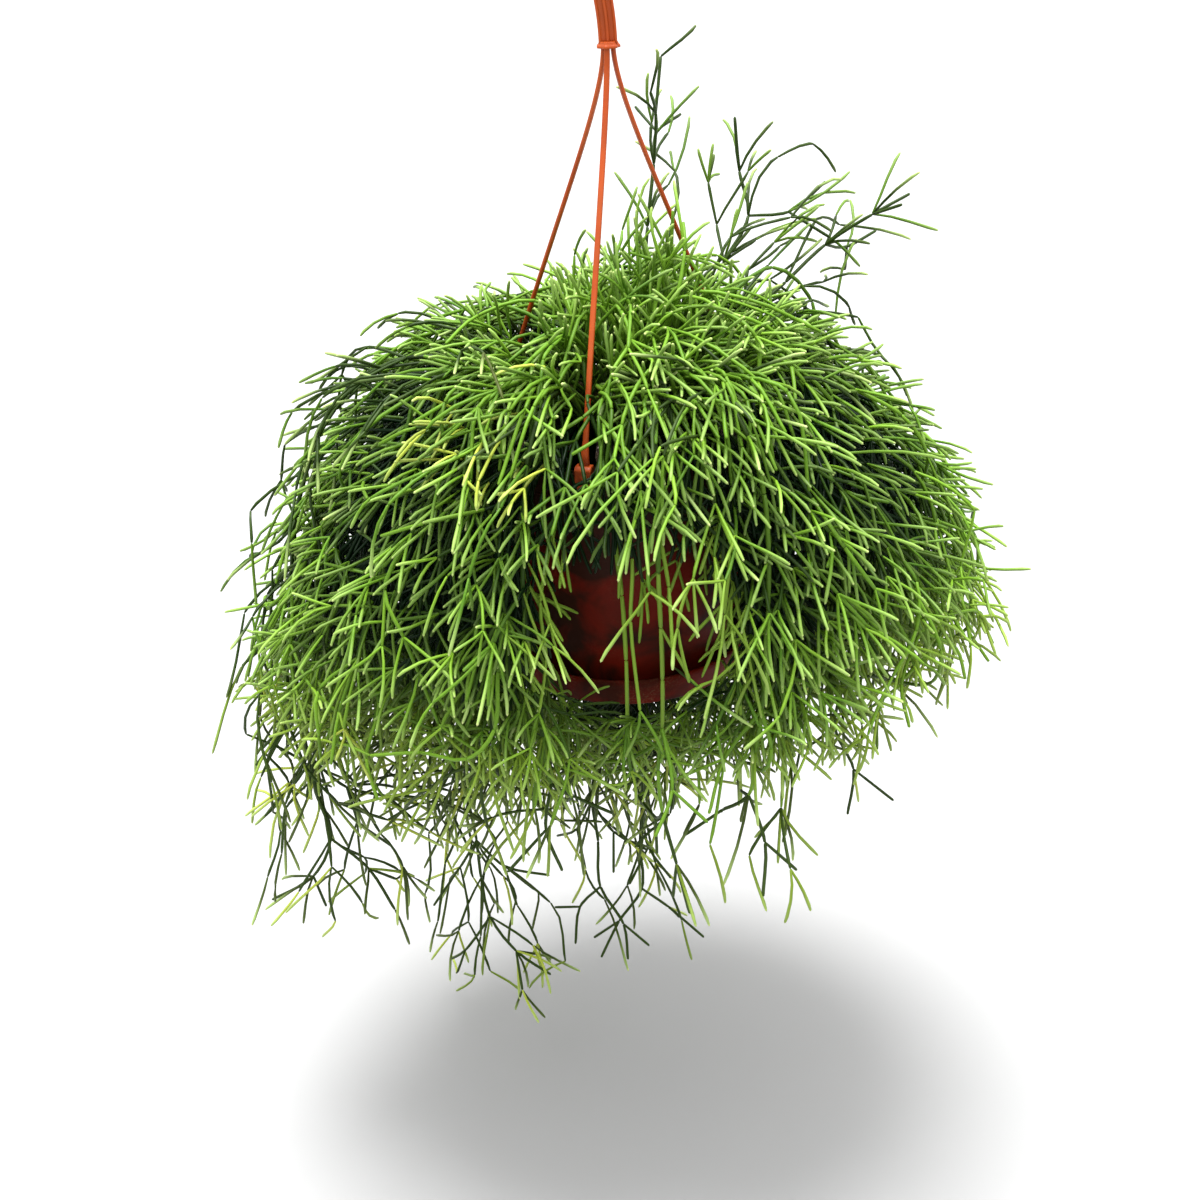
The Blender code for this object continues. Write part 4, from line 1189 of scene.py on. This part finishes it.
def stem_material():
    """Fleshy green skin. Twigs are paler towards their ends, young ones yellow, old ones by the soil brown.

    Each attribute of the rods mixes the colour towards one of these colours. inner and dark mix it towards
    near black greens, which are painted shade.
    """
    dark_green, light_green = (0.032, 0.120, 0.005, 1), (0.185, 0.350, 0.022, 1)
    blotch_green = (0.20, 0.34, 0.04, 1)
    # Painted shade: inner darkens twigs deep inside the bell, dark the shaded sprays, lowest growth and outer
    # twigs.
    overlays = {
        "young": (0.42, 0.48, 0.06, 1),
        "inner": (0.0010, 0.011, 0.0005, 1),
        "dark": (0.010, 0.020, 0.004, 1),
        "wood": (0.07, 0.045, 0.022, 1),
    }
    end_green = (0.38, 0.52, 0.16, 1)
    bud_yellow = (0.50, 0.56, 0.22, 1)
    made, tree, shader = new_material("stem_skin")

    def read(name):
        """What the attribute of this name holds."""
        return node(tree, "ShaderNodeAttribute", attribute_name=name).outputs["Fac"]

    where = node(tree, "ShaderNodeTexCoord").outputs["Object"]
    mottle = noise(tree, where, 700, 2)
    green = mixed(tree, read("tone"), dark_green, light_green)
    green = mixed(tree, rising(tree, mottle, 0.45, 0.75, high=0.35), green, blotch_green)
    for name, colour in overlays.items():
        green = mixed(tree, read(name), green, colour)
    for begin, finish, most, pale in ((0.45, 1.0, 0.5, end_green), (0.965, 0.99, 0.6, bud_yellow)):
        near_end = rising(tree, read("along"), begin, finish, high=most)
        green = mixed(tree, worked_out(tree, "MULTIPLY", near_end, read("tip")), green, pale)
    tree.links.new(green, shader.inputs["Base Color"])
    shader.inputs["Specular IOR Level"].default_value = 0.15
    tree.links.new(rising(tree, mottle, 0, 1, 0.34, 0.56), shader.inputs["Roughness"])
    bump = node(tree, "ShaderNodeBump", {"Height": mottle, "Strength": 0.25, "Distance": 0.0002})
    tree.links.new(bump.outputs["Normal"], shader.inputs["Normal"])
    return made


# Patches of new growth, as (x, y, height above the rim, radius). Most lie on the front left shoulder.
NEW_GROWTH = [
    (-0.084, -0.088, 0.031, 0.020),
    (-0.053, -0.084, 0.047, 0.016),
    (-0.052, -0.118, 0.020, 0.018),
    (-0.130, -0.101, -0.115, 0.018),
    (-0.190, 0.010, -0.150, 0.020),
    (0.100, -0.090, 0.040, 0.012),
]
middle = (everything["start"] + everything["end"]) / 2
azimuth, out, up = around(middle)
above_hem = up - hem(azimuth)
depth = depth_in_bell(middle)
is_spray = everything["owner"] >= FIRST_SPRAY
is_front = (abs(azimuth) < 0.9) & (up < 0.03) & (above_hem > 0.01)
tone, tip = everything["tone"], everything["tip"]

# The colours of each segment. They are brown near the soil. Painted light makes them lighter, with yellower
# tips, at the hem, and painted shade darkens them inside the bell. Painted shade also darkens the sprays and
# the lowest growth, all but some lit twigs, and the outermost twigs, least in front.
# Painted light: lighter towards the hem, which lies in the bell's shade.
tone = tone + np.interp(above_hem, [0.0, 0.05], [0.42, 0.11])
tone = np.clip(tone + random.normal(0, 0.06, len(tone)), 0, 1)
wood = np.clip(1 - np.hypot(out / 0.05, (up + 0.012) / 0.05), 0, 1) * 0.9
# Painted shade deep inside the bell, less near the top and at the hem.
inner = np.interp(depth, [0.83, 1.0], [1, 0]) * np.interp(up, [0.02, 0.05], [1, 0.2])
inner *= np.interp(above_hem, [0.0, 0.06], [0.25, 1])
lit = random.uniform(size=len(tone))
# Painted shade on the sprays: all but some lit twig ends are darkened, and those in front less.
dark = is_spray * np.where((tip > 0) & (lit < 0.45), 0.3, 0.88)
dark[is_front] *= 0.2
# Painted shade: about half the lowest growth at the hem, and twigs out past the outline, are darkened.
at_hem = np.interp(above_hem, [0.0, 0.03], [0.6, 0]) * np.where(lit < 0.5, 0.1, 1)
at_edge = np.interp(depth, [1.0, 1.06], [0, 0.45]) * np.where(is_front, 0.2, 1)
dark = np.maximum(np.maximum(dark, at_hem), at_edge)
fresh = is_spray & (tip > 0) & (up < -0.19) & (lit < 0.35)
dark[fresh] = 0
# New growth is yellow. Near the hem, twig ends are also painted yellower, as painted light.
young = np.where(fresh, 0.8, np.interp(above_hem, [0.0, 0.04], [0.35, 0]) * (tip > 0))
for x, y, high, radius in NEW_GROWTH:
    near = np.linalg.norm(middle - (x, y, rim_z + high), axis=1) < radius
    young[near & (everything["order"] > 1)] = 0.8
# The pale ends fade under the painted shade. They are stronger on new growth of the sprays, and, as painted
# light, on their lit twigs.
tip = tip * ((1 - inner) * (1 - 0.8 * dark))
tip[fresh | (is_spray & (tip > 0) & (lit > 0.65))] = 1.7
at_pot = in_window(middle)
inner[at_pot], tone[at_pot], wood[at_pot] = 0, 0.9, 0.3
everything.update(tone=tone, wood=wood, inner=inner, dark=dark, young=young, tip=tip)

skin = stem_material()
for number, name in enumerate(stem_names):
    vertices, faces, attributes = rods(chosen(everything, everything["owner"] == number))
    piece = make_piece(name + "_shoots", vertices, faces, skin, attributes)
    place(piece, "stem_skin", name)

# ------------------------------------------------------------------------------------------------------------
# Sizes of the CAD box and of the visual model.

model_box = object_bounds()
sizes = {"cad": [list(corner) for corner in cad_box], "visual": [list(corner) for corner in model_box]}
